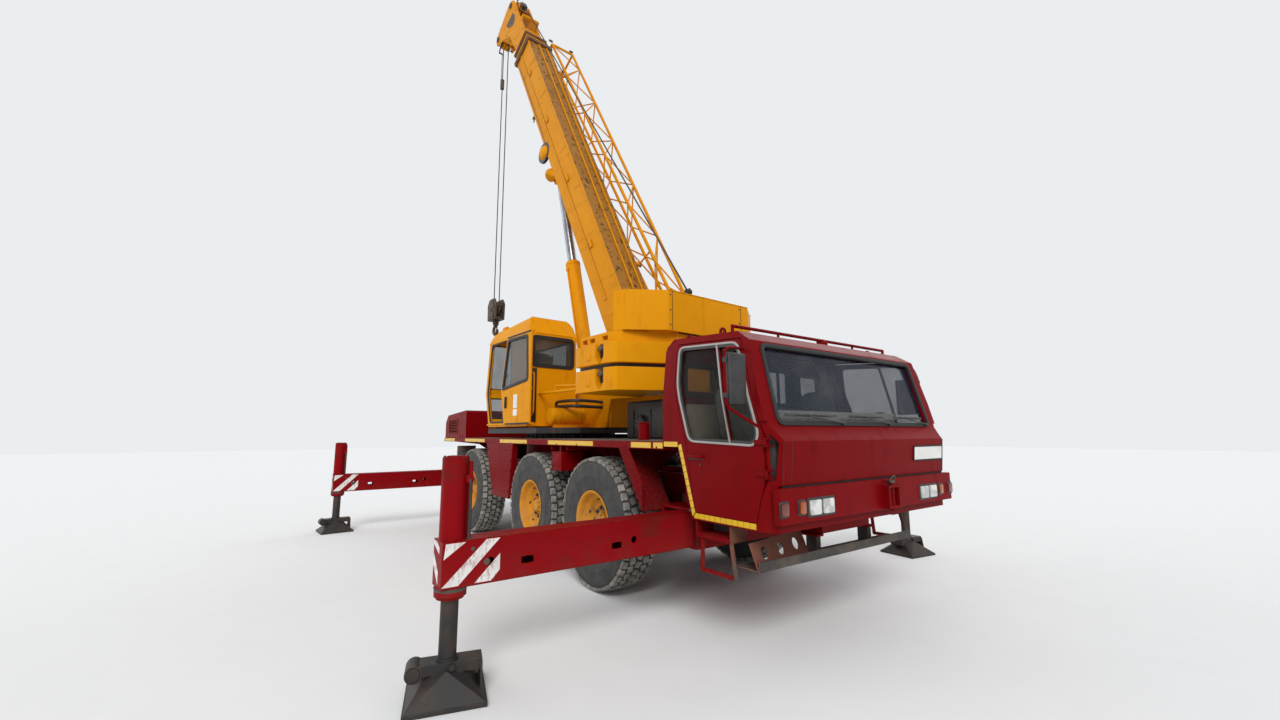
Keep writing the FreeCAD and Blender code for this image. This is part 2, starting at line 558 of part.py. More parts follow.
# operator cab: hollow, with its door opening, windows and slanted rear brow
opSide = [(-800, 1720), (-800, 3060), (-640, 3315), (520, 3215), (560, 3110), (665, 2255), (515, 1720)]
opCore = [(-765, 1760), (-765, 3045), (-622, 3272), (498, 3176), (524, 3100), (628, 2255), (486, 1760)]
opFront = [(430, 1700), (430, 3230), (480, 3320), (1120, 3320), (1225, 3080), (1225, 1700)]
opInner = [(465, 1700), (465, 3215), (496, 3284), (1100, 3284), (1190, 3070), (1190, 1700)]
op = plateXZ(opSide, 430, 1225).common(plateYZ(opFront, -900, 900))
op = op.cut(plateXZ(opCore, 430, 1225).common(plateYZ(opInner, -900, 900)))
op = op.cut(plateXZ([(-250, 1790), (-250, 3040), (470, 3020), (590, 2255), (462, 1790)], 1180, 1300))
op = op.cut(box(500, 800, 490, 1165, 2330, 3050))
op = op.cut(box(430, 800, 490, 1165, 1850, 2190))
op = op.cut(box(-820, -740, 500, 1150, 2590, 3000))
op = op.cut(box(-560, 420, 420, 480, 2330, 3010))
op = op.cut(box(-350, 300, 580, 1040, 3150, 3340))
for z in (1765, 3060):
    op = op.fuse(box(-985, 560, 1224, 1235, z - 20, z + 4))
for x, y in ((-760, 470), (-760, 1080), (420, 470), (420, 1080)):
    op = op.fuse(box(x, x + 60, y, y + 60, 1700, 1721))
save("operator_cab", onTurn(op.removeSplitter()))


def slat(a, b, y0, y1, t):
    # thin pane between two (x, z) points, t thick
    d = V(b[0] - a[0], 0, b[1] - a[1])
    n = V(d.z, 0, -d.x) * (t / d.Length)
    return plateXZ([a, b, (b[0] + n.x, b[1] + n.z), (a[0] + n.x, a[1] + n.z)], y0, y1)


panes = [slat((640, 2330), (548, 3050), 490, 1165, 6), slat((524, 1850), (619, 2190), 490, 1165, 6),
         box(-785, -779, 500, 1150, 2590, 3000), box(-560, 420, 442, 448, 2330, 3010),
         slat((-350, 3261), (300, 3206), 580, 1040, 6)]
save("operator_cab_glass", onTurn(group([pane.cut(op) for pane in panes])))

# sliding door of the operator cab, parked open
leaf = [(-310, 1752), (-310, 3070), (468, 3055), (640, 2265), (512, 1752)]
window = [(-195, 3000), (420, 3010), (585, 2275), (-235, 2370)]
panel = plateXZ(leaf, 1240, 1266).cut(plateXZ(window, 1200, 1300))
for x in (-240, 380):
    for z in (1757, 3048):
        panel = panel.fuse(box(x, x + 60, 1235 + slide, 1241, z - 6, z + 6))
panel = panel.fuse(box(430, 450, 1262, 1290, 2000, 2150))
panel.translate(V(-openBy, 0, 0))
save("operator_door", onTurn(panel))
pane2 = plateXZ(window, 1250, 1256)
pane2.translate(V(-openBy, 0, 0))
save("operator_door_glass", onTurn(pane2))

# operator seat, pedestal and lever consoles
seat = box(-360, 120, 610, 1050, 2130, 2230).fuse(plateXZ([(-360, 2200), (-480, 2860), (-390, 2880), (-250, 2220)], 620, 1040))
seat = seat.fuse(box(-260, 20, 720, 940, 1760, 2132))
seat = seat.fuse([box(-300, 220, 520, 600, 1760, 2350), box(-300, 220, 1060, 1140, 1760, 2350)])
for y in (560, 1100):
    seat = seat.fuse(cyl(V(150, y, 2340), V(0, 0, 1), 12, 170)).fuse(Part.makeSphere(26, V(150, y, 2515)))
save("operator_seat", onTurn(seat))

# boom base section: hollow box with corner strips, foot cheeks, end collar and cylinder lugs
base = box(420, boomEnd, -boomHalf, boomHalf, boomLow, boomUp)
base = base.cut(box(380, boomEnd + 5, -boomHalf + 10, boomHalf - 10, boomLow + 10, boomUp - 10))
for side in (-1, 1):
    y = sorted([side * (boomHalf - 14), side * boomHalf])
    cheek = plateXZ([(-110, -60), (-60, 110), (60, 150), (430, boomUp), (430, boomLow), (160, boomLow), (-60, -150)], y[0], y[1])
    base = base.fuse(cheek)
    y = sorted([side * boomHalf, side * (boomHalf + 12)])
    base = base.fuse([box(900, boomEnd - 90, y[0], y[1], boomLow + 190, boomLow + 240),
                      box(300, boomEnd - 90, y[0], y[1], boomUp - 50, boomUp)])
base = base.fuse(cyl(V(0, -boomHalf, 0), V(0, 1, 0), 105, 2 * boomHalf)).cut(cyl(V(0, -400, 0), V(0, 1, 0), 50.05, 800))
base = base.fuse(box(420, 434, -boomHalf + 5, boomHalf - 5, boomLow + 5, boomUp - 5))
collar = box(boomEnd - 100, boomEnd, -boomHalf - 34, boomHalf + 34, boomLow - 34, boomUp + 34)
collar = collar.cut(box(boomEnd - 110, boomEnd + 5, -222 - slide, 222 + slide, boomLow + 28 - slide, boomUp - 28 + slide))
base = base.fuse(collar)
for side in (-1, 1):
    y = sorted([side * 92, side * 122])
    lug = plateXZ([(luffEye.x - 260, boomLow + 5), (luffEye.x - 90, luffEye.z - 70), (luffEye.x + 90, luffEye.z - 70),
                   (luffEye.x + 260, boomLow + 5)], y[0], y[1])
    base = base.fuse(lug)
base = base.fuse(cyl(luffEye + V(0, -122, 0), V(0, 1, 0), pinR, 244))
save("boom_base", onBoom(base.removeSplitter()))

# middle telescope section
mid = box(700, 8060, -222, 222, boomLow + 28, boomUp - 28).cut(box(690, 8070, -213, 213, boomLow + 37, boomUp - 37))
ring2 = box(7990, 8060, -250, 250, boomLow, boomUp)
ring2 = ring2.cut(box(7980, 8070, -196 - slide, 196 + slide, boomLow + 54 - slide, boomUp - 54 + slide))
save("boom_middle", onBoom(mid.fuse(ring2).removeSplitter()))

# head section: inner box, head cheeks, sheaves and the top roller
inner3 = box(900, 8300, -196, 196, boomLow + 54, boomUp - 54).cut(box(890, 8290, -188, 188, boomLow + 62, boomUp - 62))
cheekPts = [(8200, boomLow + 54), (8200, boomUp - 54), (9560, 205), (9700, 120), (9740, -40), (9640, -720), (9560, -820),
            (9420, -830), (9250, -600), (8900, boomLow + 20)]
head = inner3
for side in (-1, 1):
    y = sorted([side * 172, side * 196])
    head = head.fuse(plateXZ(cheekPts, y[0], y[1]))
head = head.fuse(box(8290, 8310, -190, 190, boomLow + 54, boomUp - 54))
head = head.fuse(plateXZ([(8900, boomLow + 24), (9240, -590), (9256, -606), (8910, boomLow + 6)], -180, 180))
for s, h, r in ((sheave.x, sheave.z, 150), (9590, 60, 150)):
    head = head.fuse(cyl(V(s, -190, h), V(0, 1, 0), 34, 380))
    for y in (-66, 0, 66):
        wheelProfile = [(20, -20), (r, -20), (r - 16, 0), (r, 20), (20, 20)]
        disc = spin([(a, b + y) for a, b in wheelProfile], V(s, 0, h), 1)
        head = head.fuse(disc)
head = head.fuse(cyl(V(8700, -177, boomUp + 20), V(0, 1, 0), 40, 354))
for side in (-1, 1):
    y = sorted([side * 176, side * 190])
    head = head.fuse(plateXZ([(8630, boomUp - 70), (8670, boomUp + 50), (8730, boomUp + 50), (8770, boomUp - 70)], y[0], y[1]))
save("boom_head", onBoom(head.removeSplitter()))

# lattice jib stowed on the right side of the boom, wide end at the boom head
nearEnd = [(620, -400, 545), (620, -710, 545), (620, -710, 180), (620, -400, 180)]
farEnd = [(8070, -400, 270), (8070, -920, 270), (8070, -920, -280), (8070, -400, -280)]
bays = 11


def chordAt(i, t):
    a = V(*nearEnd[i])
    b = V(*farEnd[i])
    return a + (b - a) * t


bars = []
for i in range(4):
    bars.append(rod(chordAt(i, 0), chordAt(i, 1), 26))
for i in range(4):
    k = (i + 1) % 4
    bars.append(rod(chordAt(i, 0), chordAt(k, 0), 20))
    bars.append(rod(chordAt(i, 1), chordAt(k, 1), 24))
    for n in range(bays):
        t0 = n / bays
        t1 = (n + 1) / bays
        if (n + i) % 2:
            bars.append(rod(chordAt(i, t0), chordAt(k, t1), 12))
        else:
            bars.append(rod(chordAt(k, t0), chordAt(i, t1), 12))
for t in (0.12, 0.86):
    p = chordAt(3, t)
    q = chordAt(0, t)
    bars.append(rod(p, q, 14))
    m = (p + q) * 0.5
    z = min(max(m.z, boomLow + 60), boomUp - 75)
    bars.append(box(m.x - 30, m.x + 30, -405, -boomHalf, z - 20, z + 20))
for i in (2, 3):
    p = chordAt(i, 1)
    bars.append(box(p.x - 10, p.x + 190, p.y - 18, p.y + 18, p.z - 45, p.z + 45))
save("jib", onBoom(join(bars)))

# luffing cylinder: barrel on the platform, rod up to the boom lugs with its eye open
footToEye = V(math.cos(math.radians(luffDeg)) * luffEye.x - math.sin(math.radians(luffDeg)) * luffEye.z + pivot.x, 0,
              math.sin(math.radians(luffDeg)) * luffEye.x + math.cos(math.radians(luffDeg)) * luffEye.z + pivot.z) - luffFoot
reach = footToEye.Length
along = footToEye * (1 / reach)
barrel = rod(luffFoot + along * 60, luffFoot + along * 2640, 122)
barrel = barrel.cut(rod(luffFoot + along * 210, luffFoot + along * 2700, 80 + fit))
eye = cyl(luffFoot + V(0, -120, 0), V(0, 1, 0), 95, 240)
barrel = barrel.fuse(eye)
save("luff_barrel", onTurn(barrel.removeSplitter()))
tip = luffFoot + along * reach
piston = rod(luffFoot + along * (reach - 2690), tip - along * 30, 80)
piston = piston.fuse(cyl(tip + V(0, -80, 0), V(0, 1, 0), 92, 160)).cut(cyl(tip + V(0, -100, 0), V(0, 1, 0), pinR + fit, 200))
save("luff_rod", onTurn(piston.removeSplitter()))

# limit weight on its chain under the head, round the front fall
headAt = V(math.cos(math.radians(luffDeg)) * sheave.x - math.sin(math.radians(luffDeg)) * sheave.z + pivot.x, 0,
           math.sin(math.radians(luffDeg)) * sheave.x + math.cos(math.radians(luffDeg)) * sheave.z + pivot.z)
fallX = headAt.x + 138
limit = cyl(V(fallX, 0, 9790), V(0, 0, 1), 46, 230).cut(cyl(V(fallX, 0, 9700), V(0, 0, 1), 14, 400))
chainTop = headAt.z - 205
limit = limit.fuse(rod(V(fallX, 30, 10015), V(fallX, 30, chainTop), 7))
hanger = cyl(V(headAt.x, 100, headAt.z), V(0, 1, 0), 60, 12)
hanger = hanger.fuse(plateXZ([(headAt.x - 30, headAt.z - 40), (headAt.x + 50, headAt.z - 20), (fallX + 16, chainTop + 30),
                              (fallX + 16, chainTop - 10), (fallX - 16, chainTop - 10)], 100, 112))
hanger = hanger.cut(cyl(V(headAt.x, 90, headAt.z), V(0, 1, 0), 34 + fit, 40))
limit = limit.fuse([hanger, box(fallX - 16, fallX + 16, 22, 112, chainTop - 10, chainTop + 10)])
save("limit_weight", onTurn(limit))

# hook block: cheeks, sheave, cross pin and hook
hz = hookTop
block = plateXZ([(headAt.x - 200, hz - 470), (headAt.x - 215, hz - 120), (headAt.x - 120, hz), (headAt.x + 120, hz),
                 (headAt.x + 215, hz - 120), (headAt.x + 200, hz - 470)], -110, 110)
block = block.cut(box(headAt.x - 260, headAt.x + 260, -75, 75, hz - 440, hz + 10))
block = block.fuse(cyl(V(headAt.x, -120, hz - 240), V(0, 1, 0), 32, 240))
block = block.fuse(spin([(20, -26), (146, -26), (130, 0), (146, 26), (20, 26)], V(headAt.x, 0, hz - 240), 1))
neck = cyl(V(headAt.x, 0, hz - 590), V(0, 0, 1), 42, 160)
bowl = Part.makeTorus(95, 32, V(headAt.x, 0, hz - 690), V(0, 1, 0))
bowl = bowl.cut(box(headAt.x - 200, headAt.x - 20, -60, 60, hz - 690, hz - 500))
block = block.fuse([neck, bowl])
save("hook_block", onTurn(block.removeSplitter()))
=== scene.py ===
import bpy
import bmesh
import json
from math import atan2, cos, pi, radians, sin
from mathutils import Matrix, Vector

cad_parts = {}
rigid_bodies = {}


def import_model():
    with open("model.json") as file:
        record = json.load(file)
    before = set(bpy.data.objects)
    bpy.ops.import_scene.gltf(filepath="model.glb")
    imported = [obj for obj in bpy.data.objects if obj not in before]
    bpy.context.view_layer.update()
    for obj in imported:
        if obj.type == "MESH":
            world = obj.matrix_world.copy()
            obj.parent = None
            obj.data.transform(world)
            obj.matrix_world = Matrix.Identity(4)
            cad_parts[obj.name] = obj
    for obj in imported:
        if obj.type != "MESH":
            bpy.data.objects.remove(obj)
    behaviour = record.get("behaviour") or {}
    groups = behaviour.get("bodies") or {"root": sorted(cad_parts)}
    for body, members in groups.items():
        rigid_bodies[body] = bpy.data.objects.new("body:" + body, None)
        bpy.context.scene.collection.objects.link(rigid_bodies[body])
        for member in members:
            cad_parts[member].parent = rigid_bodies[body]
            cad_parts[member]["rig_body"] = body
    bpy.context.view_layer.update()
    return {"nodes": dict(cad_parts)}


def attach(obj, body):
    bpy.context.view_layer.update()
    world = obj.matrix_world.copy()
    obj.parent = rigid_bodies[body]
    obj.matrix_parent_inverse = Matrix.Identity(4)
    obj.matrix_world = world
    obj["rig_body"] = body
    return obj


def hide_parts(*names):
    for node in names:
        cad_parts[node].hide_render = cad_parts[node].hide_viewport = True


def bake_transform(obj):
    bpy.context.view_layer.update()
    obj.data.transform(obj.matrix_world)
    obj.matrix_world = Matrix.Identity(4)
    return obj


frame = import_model()
nodes = frame["nodes"]
scene = bpy.context.scene
print("frame loaded:", len(nodes), "nodes")

# where the slewing part and the boom stand when parked; pieces are made in these frames
axleShift = 1.851
slewed, luffed = radians(183.5), radians(62.1)
boomPivot = (-1.835, 0, 2.839)
axlePlace = Matrix.Translation((axleShift, 0, 0))
turnPlace = Matrix.Translation((-0.949, 0, 0)) @ Matrix.Rotation(slewed, 4, "Z")
boomPlace = turnPlace @ Matrix.Translation(boomPivot) @ Matrix.Rotation(-luffed, 4, "Y")
axleSpots = (0.0, -1.590, -4.034)
jackOut = 3.054
deckTop = 1.549
winchX, winchZ = -2.640, 2.930
corners = {  # side of the machine and front face of each outrigger beam
    "front_right": (-1, 1.407), "front_left": (1, 1.183),
    "rear_right": (-1, -5.338), "rear_left": (1, -5.562)}


# shader helpers: a Wire is one output socket, and maths on wires adds Math nodes
class Wire:
    def __init__(self, shade, out):
        self.shade = shade
        self.out = out

    def maths(self, operation, *others):
        return self.shade.node("ShaderNodeMath", {"operation": operation}, dict(enumerate((self,) + others)))

    def flipped(self, operation, other):
        return self.shade.node("ShaderNodeMath", {"operation": operation}, {0: other, 1: self})

    def __add__(self, other):
        return self.maths("ADD", other)

    def __radd__(self, other):
        return self.maths("ADD", other)

    def __sub__(self, other):
        return self.maths("SUBTRACT", other)

    def __rsub__(self, other):
        return self.flipped("SUBTRACT", other)

    def __mul__(self, other):
        return self.maths("MULTIPLY", other)

    def clamp(self):
        return self.shade.node("ShaderNodeClamp", {}, {"Value": self})

    def ramp(self, low, high):
        # 0 below low and 1 above high, smooth between
        return self.shade.node("ShaderNodeMapRange", {"interpolation_type": "SMOOTHSTEP"},
                               {"Value": self, "From Min": low, "From Max": high})


class Shade:
    def __init__(self, name, world=None):
        self.material = world or bpy.data.materials.new(name)
        self.material.use_nodes = True
        self.tree = self.material.node_tree
        self.tree.nodes.clear()
        self.pos = None if world else self.node("ShaderNodeTexCoord", out="Object")

    def node(self, kind, settings=None, sockets=None, out=0):
        made = self.tree.nodes.new(kind)
        for name, value in (settings or {}).items():
            if name == "stops":
                stops = made.color_ramp.elements
                for i, (at, colour) in enumerate(value):
                    stop = stops[i] if i < 2 else stops.new(at)
                    stop.position = at
                    stop.color = (*colour, 1)
            else:
                setattr(made, name, value)
        for name, value in (sockets or {}).items():
            if isinstance(value, Wire):
                self.tree.links.new(value.out, made.inputs[name])
            else:
                made.inputs[name].default_value = value
        return Wire(self, made.outputs[out]) if made.outputs else None

    def place(self, scale=(1, 1, 1), turn=(0, 0, 0)):
        return self.node("ShaderNodeMapping", {}, {"Vector": self.pos, "Scale": scale, "Rotation": turn})

    def noise(self, scale, detail=3.0, rough=0.55, pos=None):
        return self.node("ShaderNodeTexNoise", {}, {"Vector": pos or self.pos, "Scale": scale,
                                                    "Detail": detail,
                                                    "Roughness": rough})

    def mix(self, factor, a, b):
        a = a if isinstance(a, Wire) else (*a, 1)
        b = b if isinstance(b, Wire) else (*b, 1)
        return self.node("ShaderNodeMix", {"data_type": "RGBA"}, {0: factor, 6: a, 7: b}, out=2)

    def part(self, axis):
        return self.node("ShaderNodeSeparateXYZ", {}, {0: self.pos}, out=axis)

    def bump(self, height, strength, distance, normal=None):
        sockets = {"Height": height, "Strength": strength, "Distance": distance}
        if normal:
            sockets["Normal"] = normal
        return self.node("ShaderNodeBump", {}, sockets)

    def finish(self, **sockets):
        named = {"colour": "Base Color", "rough": "Roughness", "metal": "Metallic", "coat": "Coat Weight",
                 "coatRough": "Coat Roughness", "normal": "Normal", "alpha": "Alpha", "ior": "IOR",
                 "specular": "Specular IOR Level", "glow": "Emission Strength",
                 "glowColour": "Emission Color",
                 "through": "Transmission Weight"}
        given = {}
        for key, value in sockets.items():
            if isinstance(value, tuple) and len(value) == 3:
                value = (*value, 1)
            given[named[key]] = value
        surface = self.node("ShaderNodeBsdfPrincipled", {}, given)
        self.node("ShaderNodeOutputMaterial", {}, {"Surface": surface})
        return self.material


rust = (0.115, 0.036, 0.013)
dust = (0.22, 0.17, 0.12)


def edgeWear(shade, radius):
    # 1 on sharp outer and inner edges, and the rounded normal that softens them
    soft = shade.node("ShaderNodeBevel", {"samples": 4}, {"Radius": radius})
    flat = shade.node("ShaderNodeNewGeometry", out="Normal")
    along = shade.node("ShaderNodeVectorMath", {"operation": "DOT_PRODUCT"}, {0: soft, 1: flat}, out="Value")
    return (1.0 - along).ramp(0.02, 0.16), soft


def makePaint(name, look):
    # old machine paint: faded patches, runs of dirt, dust low down, chips to rust at the edges
    shade = Shade(name)
    edge, soft = edgeWear(shade, look["edge"])
    broad = shade.noise(0.7, 3.0)
    mottle = shade.noise(7.0, 5.0, 0.6)
    fine = shade.noise(60.0, 4.0, 0.7)
    runs = shade.noise(1.0, 4.0, 0.6, shade.place(look["runScale"], look["runTurn"]))
    colour = shade.mix(broad.ramp(0.35, 0.75) * 0.55, look["colour"], look["faded"])
    colour = shade.mix(mottle.ramp(0.45, 0.8) * 0.28, colour, look["deep"])
    dirty = (runs.ramp(0.52, 0.74) * (mottle.ramp(0.30, 0.62)) * look["dirt"]).clamp()
    colour = shade.mix(dirty, colour, look["dirtColour"])
    low = ((1.0 - shade.part("Z").ramp(look["dustFrom"] - 0.9, look["dustFrom"]))
           * mottle.ramp(0.25, 0.75) * look["dust"])
    colour = shade.mix(low.clamp(), colour, dust)
    chips = (edge * fine.ramp(0.50, 0.60) * mottle.ramp(0.40, 0.60) * look["chips"]).clamp()
    spots = (fine.ramp(0.70, 0.74) * mottle.ramp(0.55, 0.66) * look["spots"]).clamp()
    bare = (chips + spots).clamp()
    colour = shade.mix(bare, colour, rust)
    rough = (0.36 + dirty * 0.30 + low * 0.35 + bare * 0.45 + mottle * 0.10).clamp()
    normal = shade.bump(mottle * 0.6 + fine * 0.16 - bare * 0.5, 0.22, 0.004, soft)
    return shade.finish(colour=colour, rough=rough, normal=normal, specular=look["gloss"])


crimson = makePaint("crimson_paint", {
    "colour": (0.165, 0.0008, 0.0022), "faded": (0.195, 0.0018, 0.0040), "deep": (0.105, 0.0008, 0.0020),
    "edge": 0.010,
    "runScale": (9.0, 9.0, 0.7), "runTurn": (0, 0, 0), "dirt": 0.42, "dirtColour": (0.070, 0.004, 0.004),
    "dustFrom": 1.20, "dust": 0.12, "chips": 0.75, "spots": 0.45, "gloss": 0.05})
beamRed = makePaint("scraped_crimson_paint", {
    "colour": (0.215, 0.0018, 0.0042), "faded": (0.260, 0.0060, 0.0085), "deep": (0.105, 0.0018, 0.0036),
    "edge": 0.016,
    "runScale": (2.0, 2.0, 5.0), "runTurn": (0.05, 0, 0), "dirt": 0.75, "dirtColour": (0.090, 0.014, 0.010),
    "dustFrom": 1.00, "dust": 0.18, "chips": 1.0, "spots": 0.9, "gloss": 0.05})
yellow = makePaint("amber_paint", {
    "colour": (0.690, 0.268, 0.002), "faded": (0.730, 0.318, 0.005), "deep": (0.560, 0.180, 0.003),
    "edge": 0.010,
    "runScale": (8.0, 8.0, 0.6), "runTurn": (0, 0, 0), "dirt": 0.42, "dirtColour": (0.270, 0.095, 0.010),
    "dustFrom": 1.9, "dust": 0.14, "chips": 0.7, "spots": 0.45, "gloss": 0.05})
boomYellow = makePaint("boom_amber_paint", {
    "colour": (0.640, 0.240, 0.002), "faded": (0.680, 0.284, 0.008), "deep": (0.480, 0.158, 0.004),
    "edge": 0.010,
    "runScale": (0.5, 9.0, 9.0), "runTurn": (0, -luffed, -slewed), "dirt": 0.48,
    "dirtColour": (0.220, 0.080, 0.010), "dustFrom": 0.0, "dust": 0.0, "chips": 0.6, "spots": 0.4,
    "gloss": 0.04})
boomTop = makePaint("streaked_boom_top_paint", {
    "colour": (0.290, 0.118, 0.014), "faded": (0.360, 0.165, 0.030), "deep": (0.120, 0.050, 0.010),
    "edge": 0.010,
    "runScale": (0.28, 16.0, 16.0), "runTurn": (0, -luffed, -slewed), "dirt": 2.6,
    "dirtColour": (0.060, 0.032, 0.014), "dustFrom": 0.0, "dust": 0.0, "chips": 0.7, "spots": 0.9,
    "gloss": 0.08})
rimYellow = makePaint("wheel_yellow_paint", {
    "colour": (0.600, 0.232, 0.006), "faded": (0.560, 0.250, 0.025), "deep": (0.340, 0.115, 0.006),
    "edge": 0.008,
    "runScale": (5.0, 5.0, 5.0), "runTurn": (0, 0, 0), "dirt": 0.95, "dirtColour": (0.110, 0.060, 0.030),
    "dustFrom": 1.3, "dust": 0.35, "chips": 1.0, "spots": 0.9, "gloss": 0.12})
# black paint, also used as painted shade on the deck boxes behind the cab and in the counterweight's slot
blackPaintAndShade = makePaint("black_paint_and_painted_shade", {
    "colour": (0.030, 0.028, 0.028), "faded": (0.060, 0.055, 0.050), "deep": (0.015, 0.014, 0.014),
    "edge": 0.008,
    "runScale": (6.0, 6.0, 1.0), "runTurn": (0, 0, 0), "dirt": 0.7, "dirtColour": (0.090, 0.060, 0.040),
    "dustFrom": 1.3, "dust": 0.45, "chips": 0.8, "spots": 0.8, "gloss": 0.15})


def makeSteel(name, look):
    # bare or oily steel: patchy rust and rubbed bright edges
    shade = Shade(name)
    edge, soft = edgeWear(shade, 0.006)
    patch = shade.noise(5.0, 5.0, 0.6)
    fine = shade.noise(45.0, 4.0, 0.7)
    colour = shade.mix(patch.ramp(0.40, 0.68) * look["rust"], look["colour"], look["rusty"])
    colour = shade.mix((fine.ramp(0.55, 0.75) * 0.35).clamp(), colour, look["dark"])
    colour = shade.mix((edge * patch.ramp(0.35, 0.7) * look["rub"]).clamp(), colour, look["bright"])
    rough = (look["rough"] + patch * 0.25 + fine * 0.1).clamp()
    normal = shade.bump(patch * 0.5 + fine * 0.4, 0.35, 0.003, soft)
    return shade.finish(colour=colour, rough=rough, metal=look["metal"], normal=normal)


footSteel = makeSteel("black_foot_steel", {
    "colour": (0.026, 0.024, 0.023), "rusty": (0.075, 0.045, 0.028), "dark": (0.010, 0.010, 0.010),
    "bright": (0.20, 0.18, 0.16), "rust": 0.55, "rub": 0.5, "rough": 0.40, "metal": 0.35})
# dusty cast iron, also used as painted shade for the rims' hand holes
castIronAndShade = makeSteel("dusty_cast_iron_and_painted_shade", {
    "colour": (0.070, 0.062, 0.055), "rusty": (0.130, 0.070, 0.038), "dark": (0.025, 0.022, 0.020),
    "bright": (0.22, 0.20, 0.18), "rust": 0.6, "rub": 0.3, "rough": 0.55, "metal": 0.15})
rustyCollar = makeSteel("rusty_boom_collar", {
    "colour": (0.150, 0.062, 0.022), "rusty": (0.090, 0.034, 0.014), "dark": (0.035, 0.018, 0.010),
    "bright": (0.42, 0.17, 0.03), "rust": 0.9, "rub": 0.5, "rough": 0.65, "metal": 0.0})
rustyPlate = makeSteel("rusty_red_plate", {
    "colour": (0.175, 0.050, 0.030), "rusty": (0.150, 0.066, 0.034), "dark": (0.055, 0.020, 0.014),
    "bright": (0.25, 0.16, 0.12), "rust": 0.85, "rub": 0.4, "rough": 0.60, "metal": 0.05})
hookBlack = makeSteel("greasy_block_steel", {
    "colour": (0.045, 0.030, 0.018), "rusty": (0.120, 0.060, 0.020), "dark": (0.012, 0.010, 0.008),
    "bright": (0.20, 0.15, 0.10), "rust": 0.6, "rub": 0.5, "rough": 0.42, "metal": 0.25})
ropeSteel = makeSteel("greased_rope_wire", {
    "colour": (0.050, 0.046, 0.042), "rusty": (0.085, 0.055, 0.035), "dark": (0.015, 0.014, 0.013),
    "bright": (0.25, 0.24, 0.22), "rust": 0.5, "rub": 0.2, "rough": 0.45, "metal": 0.5})


def makeRodSteel():
    shade = Shade("cylinder_rod_steel")
    streak = shade.noise(1.0, 4.0, 0.6, shade.place((30.0, 30.0, 1.2), (0, radians(-15), -slewed)))
    film = shade.noise(3.0, 4.0)
    colour = shade.mix(film.ramp(0.4, 0.7) * 0.5, (0.30, 0.31, 0.33), (0.11, 0.11, 0.12))
    return shade.finish(colour=colour, rough=(0.16 + streak.ramp(0.4, 0.7) * 0.22).clamp(), metal=0.9,
                        normal=shade.bump(streak, 0.05, 0.002))


def makeRubber(name, look):
    shade = Shade(name)
    patch = shade.noise(9.0, 5.0, 0.6)
    fine = shade.noise(110.0, 3.0, 0.7)
    colour = shade.mix(patch.ramp(0.35, 0.75) * look["dust"], look["colour"], look["dustColour"])
    colour = shade.mix(fine.ramp(0.45, 0.75) * 0.30, colour, look["colour"])
    return shade.finish(colour=colour, rough=(look["rough"] + patch * 0.15).clamp(),
                        normal=shade.bump(fine * 0.5 + patch, 0.25, 0.003))


treadRubber = makeRubber("dusty_tread_rubber", {"colour": (0.130, 0.122, 0.110),
                                                "dustColour": (0.36, 0.33, 0.28),
                                                "dust": 0.95, "rough": 0.80})
wallRubber = makeRubber("tyre_wall_rubber", {"colour": (0.026, 0.025, 0.025),
                                             "dustColour": (0.082, 0.077, 0.070),
                                             "dust": 0.60, "rough": 0.70})
grooveRubber = makeRubber("tyre_groove_rubber", {"colour": (0.022, 0.021, 0.020),
                                                 "dustColour": (0.080, 0.073, 0.062),
                                                 "dust": 0.8, "rough": 0.82})
# black seal rubber, also used as painted shade: the door's shadow on the operator cab's rear wall and the lug
# pockets
sealRubberAndShade = makeRubber("black_seal_rubber_and_painted_shade", {"colour": (0.006, 0.006, 0.007),
                                              "dustColour": (0.040, 0.037, 0.033),
                                              "dust": 0.22, "rough": 0.55})
blackPlastic = makeRubber("black_plastic", {"colour": (0.016, 0.016, 0.017),
                                            "dustColour": (0.07, 0.066, 0.058),
                                            "dust": 0.4, "rough": 0.42})
paleTrim = makeRubber("pale_window_trim", {"colour": (0.33, 0.33, 0.32), "dustColour": (0.30, 0.27, 0.23),
                                           "dust": 0.6, "rough": 0.45})
creamTrim = makeRubber("cream_cab_trim", {"colour": (0.50, 0.43, 0.30), "dustColour": (0.30, 0.24, 0.16),
                                          "dust": 0.6, "rough": 0.6})
# the cab trim's cream made much brighter for the strip behind the windscreen: painted light, standing for the
# light the glass holds back
dashCreamPaintedLight = makeRubber("dash_strip_painted_light", {"colour": (0.86, 0.82, 0.70), "dustColour": (0.55, 0.50, 0.40),
                                          "dust": 0.4, "rough": 0.5})
darkTrim = makeRubber("dark_cab_lining", {"colour": (0.060, 0.058, 0.056), "dustColour": (0.15, 0.14, 0.12),
                                          "dust": 0.4, "rough": 0.75})


def makeCloth():
    # woven seat cover: crossing threads, darker in worn patches
    shade = Shade("seat_cloth")
    across = shade.node("ShaderNodeTexWave", {"bands_direction": "Y"},
                        {"Vector": shade.pos, "Scale": 190.0, "Distortion": 0.6})
    along = shade.node("ShaderNodeTexWave", {"bands_direction": "X"},
                       {"Vector": shade.pos, "Scale": 190.0, "Distortion": 0.6})
    worn = shade.noise(4.0, 4.0, 0.6)
    colour = shade.mix((across * 0.3 + along * 0.2).clamp(), (0.340, 0.370, 0.310), (0.215, 0.235, 0.200))
    colour = shade.mix(worn.ramp(0.45, 0.8) * 0.5, colour, (0.095, 0.088, 0.070))
    return shade.finish(colour=colour, rough=(0.82 + worn * 0.15).clamp(), specular=0.15,
                        normal=shade.bump(across + along + worn * 2.0, 0.35, 0.0015))


